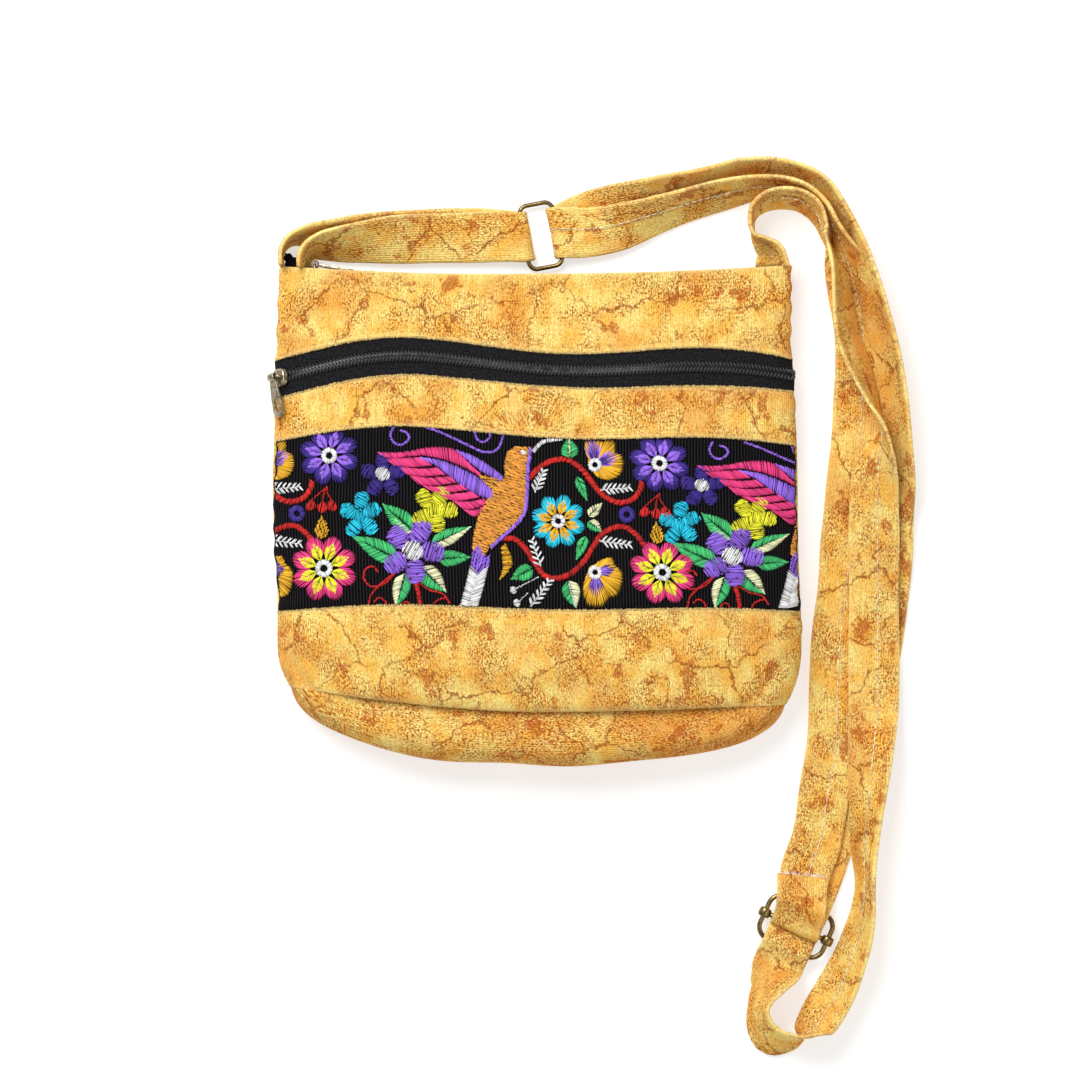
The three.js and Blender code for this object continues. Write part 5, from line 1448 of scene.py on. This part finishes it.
# Bird: wing feathers as pairs of rails, body in layers of stitches, rump, tail, eye and beak
feathers = [
    ("magenta", [(-160.5, 62.8), (-132, 63), (-116.6, 66.6), (-102.8, 68.3), (-87.4, 67.4), (-79, 63), (-70, 53),
                 (-58, 42)],
     [(-160.5, 62), (-146, 55.4), (-130, 57.6), (-116, 58.6), (-98, 55.4), (-82, 50), (-70, 44.8), (-58, 38.4)]),
    ("magenta", [(-152, 56.4), (-130, 57.4), (-115, 58)], [(-144.2, 48.9), (-126, 46.8), (-105, 48.4)]),
    ("magenta", [(-139, 48.6), (-118, 46.6), (-100, 47.4)], [(-133.6, 40.6), (-115, 37.6), (-92, 39.6)]),
    ("magenta", [(-129, 40), (-108, 37.6), (-88, 39.2)], [(-120, 30), (-104, 28.6), (-81, 31.8)]),
    ("magenta", [(-116, 30), (-98, 28.6), (-77, 31.4)], [(-106, 23), (-94, 21.4), (-70, 24.4)]),
    ("magenta", [(-102, 22.8), (-86, 21.4), (-66, 24)], [(-90, 15.4), (-78, 13.8), (-58, 17)]),
    ("magenta", [(-87, 15), (-72, 13.8), (-54, 16.6)], [(-76, 6), (-66, 5.2), (-50, 11)]),
    ("magenta", [(-75, 6.4), (-64, 5.4), (-51, 11)], [(-69, 1.4), (-62.4, -2), (-53, 6)]),
    ("violet", [(-118.3, 58), (-94.2, 54.4), (-73.6, 46), (-56.4, 36.4), (-44.3, 23)],
     [(-118.3, 57), (-102.8, 49.4), (-83.9, 34), (-66.7, 22), (-47.7, 14.1)]),
    ("violet", [(-82.2, 65.4), (-65, 59.7), (-47.7, 49.4), (-34.8, 39)],
     [(-80.5, 64), (-68.4, 52), (-56.4, 42.5), (-38, 33.4)]),
]
for dye, upper, lower in feathers:
    satin(dye, upper, lower, 2 if dye == "magenta" else 3, 0.06)
body = [
    (-23.6, 68.3), (-31.4, 63.1), (-34, 50.2), (-33.1, 38.2), (-46, 26.1), (-59.8, -1.4), (-64.1, -16.9),
    (-65.8, -34.2), (-59, -28.1), (-52, -41), (-47.7, -32.4), (-37.4, -23.8), (-21.9, -10), (-12.4, 2), (-9.9, 21),
    (-11.6, 34.7), (-10.7, 48.5), (-6.4, 67.4),
]
fillShape("ember", body, -28, 2, 60, 1.3)
fillShape("orange", body, -28, 3, 11.0, 1.1, 0.3)
fillShape("umber", body, -31, 3.5, 9.0, 3.7, 4.4)
fillShape("orange", [(-60, 40), (-50, 38.5), (-37, 36), (-36, 28), (-47, 25)], -28, 2, 8.0, 1.1)
vine("violet", [(-7, 66), (-10, 46), (-11, 20), (-13.5, 2), (-22, -10), (-37, -23.5), (-46, -32)], 4.2, 4, 0.8)
rump = [(-65.8, -37.6), (-58.9, -28.1), (-52, -41.9), (-46.9, -39.3), (-48.6, -51.4), (-59.8, -60), (-66.7, -51.4)]
fillShape("violet", rump, 62, 4, 12)
satin("white", [(-68.2, -50.4), (-72.6, -70), (-78.5, -91.5)], [(-58, -58), (-62.6, -74), (-68, -92)], 3, 0.04)
satin("white", [(-61, -59), (-65, -74), (-70.4, -92)], [(-48.5, -50.4), (-53, -70), (-59, -91.5)], 3, -0.04)
fillShape("white", circle((-14, 62), 3.5, 2.4, -20), 20, 5, pitch=0.9)
vine("white", [(-4.5, 63.4), (4.3, 72.2), (23.6, 76.6)], 4.6, 3, 0.2)

# Centre and its repeat at the left edge: vines, leaves, pansies, a flower, a ring and white sprigs
group = "side"
vines = [
    [(-8, 37.1), (0.8, 46.8), (13, 53.8), (27.1, 55.5), (39.4, 49.4), (48.1, 40.6), (56.9, 28.3), (67.4, 17.8),
     (79.7, 12.5), (92, 14.3), (100.8, 23.1), (103.4, 32.7)],
    [(-33.2, -23.8), (-23.8, -23.8), (-13.4, -32.4), (-3.1, -47.9), (9.5, -62), (23.6, -62), (35.9, -55.9),
     (46.4, -45.4), (55.2, -31.3), (63.9, -19), (76.2, -12.4), (86.7, -12), (97.3, -19), (106, -30.4)],
]
for line in vines:
    vine("red", line, 6.2, 1)
leaves = [
    ((32.4, 56.4), (30.6, 77.5), 18, "green", "green"), ((38.5, 39), (49, 14.3), 9.6, "green", "green"),
    ((50, -1.5), (64, 12), 11, "cream", "cream"), ((50, -6), (64, -17), 12, "cream", "green"),
    ((48, -21), (38, -45), 11, "green", "green"), ((30, -65), (38, -92.7), 19, "cream", "green"),
    ((-4.7, -53), (-27, -64), 17, "green", "green"),
]
for row in leaves:
    leaf(*row, 0)
vine("cream", [(32, 60), (31, 76)], 1.8, 2)
vine("white", [(31, -68), (37, -91)], 1.6, 2)
calyx = [
    (-37.4, -32.4), (-32.2, -28.1), (-25.3, -41), (-24.5, -49.7), (-30.5, -58.3), (-39.1, -66), (-35.7, -53.1),
    (-36.6, -41),
]
fillShape("amber", calyx, 4, 2)
flower((20.1, -6.4), 27.7, "turquoise", "amber", 0.5, 2)
pansies = [  # eye, bearing and reach round the edge, bearing, reach and dyes of the wedges
    ((56.9, 49.7), [(-180, 6), (-110, 6), (-70, 14), (-45, 22), (-20, 28), (5, 30), (22, 29), (33, 24), (48, 31),
                    (70, 33), (92, 32), (107, 29), (120, 22), (136, 9), (180, 6)],
     [(97, 28, "violet", "indigo"), (24, 27, "violet", "indigo")]),
    ((56.9, -57.3), [(-180, 7), (-142, 13), (-120, 25), (-102, 35), (-78, 36), (-60, 30), (-45, 33), (-20, 30),
                     (0, 28), (20, 22), (42, 23), (62, 15), (85, 8), (180, 7)],
     [(8, 22, "indigo", "violet"), (-86, 28, "indigo", "violet")]),
]
for row in pansies:
    pansy(*row, 2)
eyeRing("indigo", (88.5, 0.3), 8.8, 2.6, 2)
sprigs = [
    ((-3, 23), (6, 44), 5), ((3, -51), (-6, -25), 5), ((63, 25), (92, 27), 6), ((62, -26), (92, -30), 6),
    ((-7, -91), (12, -65), 6),
]
for row in sprigs:
    sprig(*row, 8, 2)
for dot, root in (((-24.5, -74.6), (0, -62)), ((-21, -87.5), (-10, -78))):
    vine("white", [dot, root], 1.2, 1)
    fillShape("white", circle(dot, 3.8), 20, 2)


# Threads laid on the band: cut at its sewn edges and side seams, raised by their layer, fuller where they are long
def layThreads(dye, stitches):
    s = chartSet
    start, end, layer = stitches[:, :2] * s["unit"], stitches[:, 2:4] * s["unit"], stitches[:, 4]
    t = np.linspace(0, 1, 17)
    x, y = np.moveaxis(start[:, None] + (end - start)[:, None] * t[:, None], -1, 0)
    inside = (y < seamLine("bandTop", x) - s["margin"]) & (y > seamLine("bandBottom", x) + s["margin"])
    inside &= np.abs(shareAcross(x, y)) < s["side"]
    keep = inside.sum(1) > 2
    first, last = t[inside[keep].argmax(1)], t[len(t) - 1 - inside[keep][:, ::-1].argmax(1)]
    p0, p1 = (start[keep] + (end - start)[keep] * at[:, None] for at in (first, last))
    xy = p0[:, None] + (p1 - p0)[:, None] * np.array(s["steps"])[:, None]
    long = np.linalg.norm(p1 - p0, axis=1)
    n = len(long)
    arch = np.array(s["arch"]) * s["bulge"] * np.minimum(1, long / s["full"])[:, None]
    raised = s["lift"] + layer[keep][:, None] * s["layer"] + arch + rng.normal(0, s["uneven"], (n, 1))
    axis, normal = onCloth(xy[..., 0], xy[..., 1], raised - bodySet["bandDepth"])
    points, faces = threadPart(axis, normal, s["wide"] * rng.uniform(*s["width"], n), s["thick"])
    addPiece("embroidery_" + dye, points, faces, threadLook(dye + "_thread", dyes[dye]), "black_cloth",
             values={"shade": np.repeat(np.clip(rng.normal(*s["shade"], n), 0, 1), threadPoints)})
    return n


total = sum(layThreads(dye, np.concatenate(parts)) for dye, parts in sewn.items())
print("embroidery made,", total, "stitches")


# Floor, soft light and a clear colour reading
stageSet = {
    "floor": 6.0, "floorLevel": -0.0003, "floorLow": (0.52, 0.52, 0.52, 1), "floorHigh": (0.55, 0.55, 0.55, 1),
    "glow": 0.58, "white": (1.0, 1.0, 1.0, 1.0), "world": 0.44,
    # place, size, power
    "lights": {"key_light": ((-0.8, 1.3, 2.0), 1.5, 55.0), "fill_light": ((1.4, -0.8, 1.8), 1.6, 8.0)},
}
s = stageSet
mesh = bpy.data.meshes.new("floor")
corners = ((-1, -1), (1, -1), (1, 1), (-1, 1))
mesh.from_pydata([(x * s["floor"], y * s["floor"], s["floorLevel"]) for x, y in corners], [], [(0, 1, 2, 3)])
floorLook, w, shader = newLook("pale_floor")
grain = w.place().noise(3.0, 2.0, 0.5, "3D")
connect(w, shader, Base_Color=grain.blend(s["floorLow"], s["floorHigh"]), Roughness=0.95,
        Specular_IOR_Level=0.1, Emission_Color=s["white"], Emission_Strength=s["glow"])
mesh.materials.append(floorLook)
floor = bpy.data.objects.new("floor", mesh)
bpy.context.collection.objects.link(floor)


# A round light that faces the origin
def areaLight(name, place, size, power):
    light = bpy.data.lights.new(name, "AREA")
    light.shape, light.size, light.energy = "DISK", size, power
    lamp = bpy.data.objects.new(name, light)
    lamp.location = place
    back = unit(np.array(place))
    side = unit(np.cross([0.0, 1.0, 0.01], back))
    up = np.cross(back, side)
    lamp.rotation_euler = Matrix(np.stack([side, up, back], 1).tolist()).to_euler()
    bpy.context.collection.objects.link(lamp)


for name, row in s["lights"].items():
    areaLight(name, *row)
world = bpy.data.worlds.new("studio")
world.use_nodes = True
background = world.node_tree.nodes["Background"]
background.inputs["Color"].default_value = s["white"]
background.inputs["Strength"].default_value = s["world"]
bpy.context.scene.world = world
bpy.context.scene.view_settings.view_transform = "Standard"

print("scene finished")
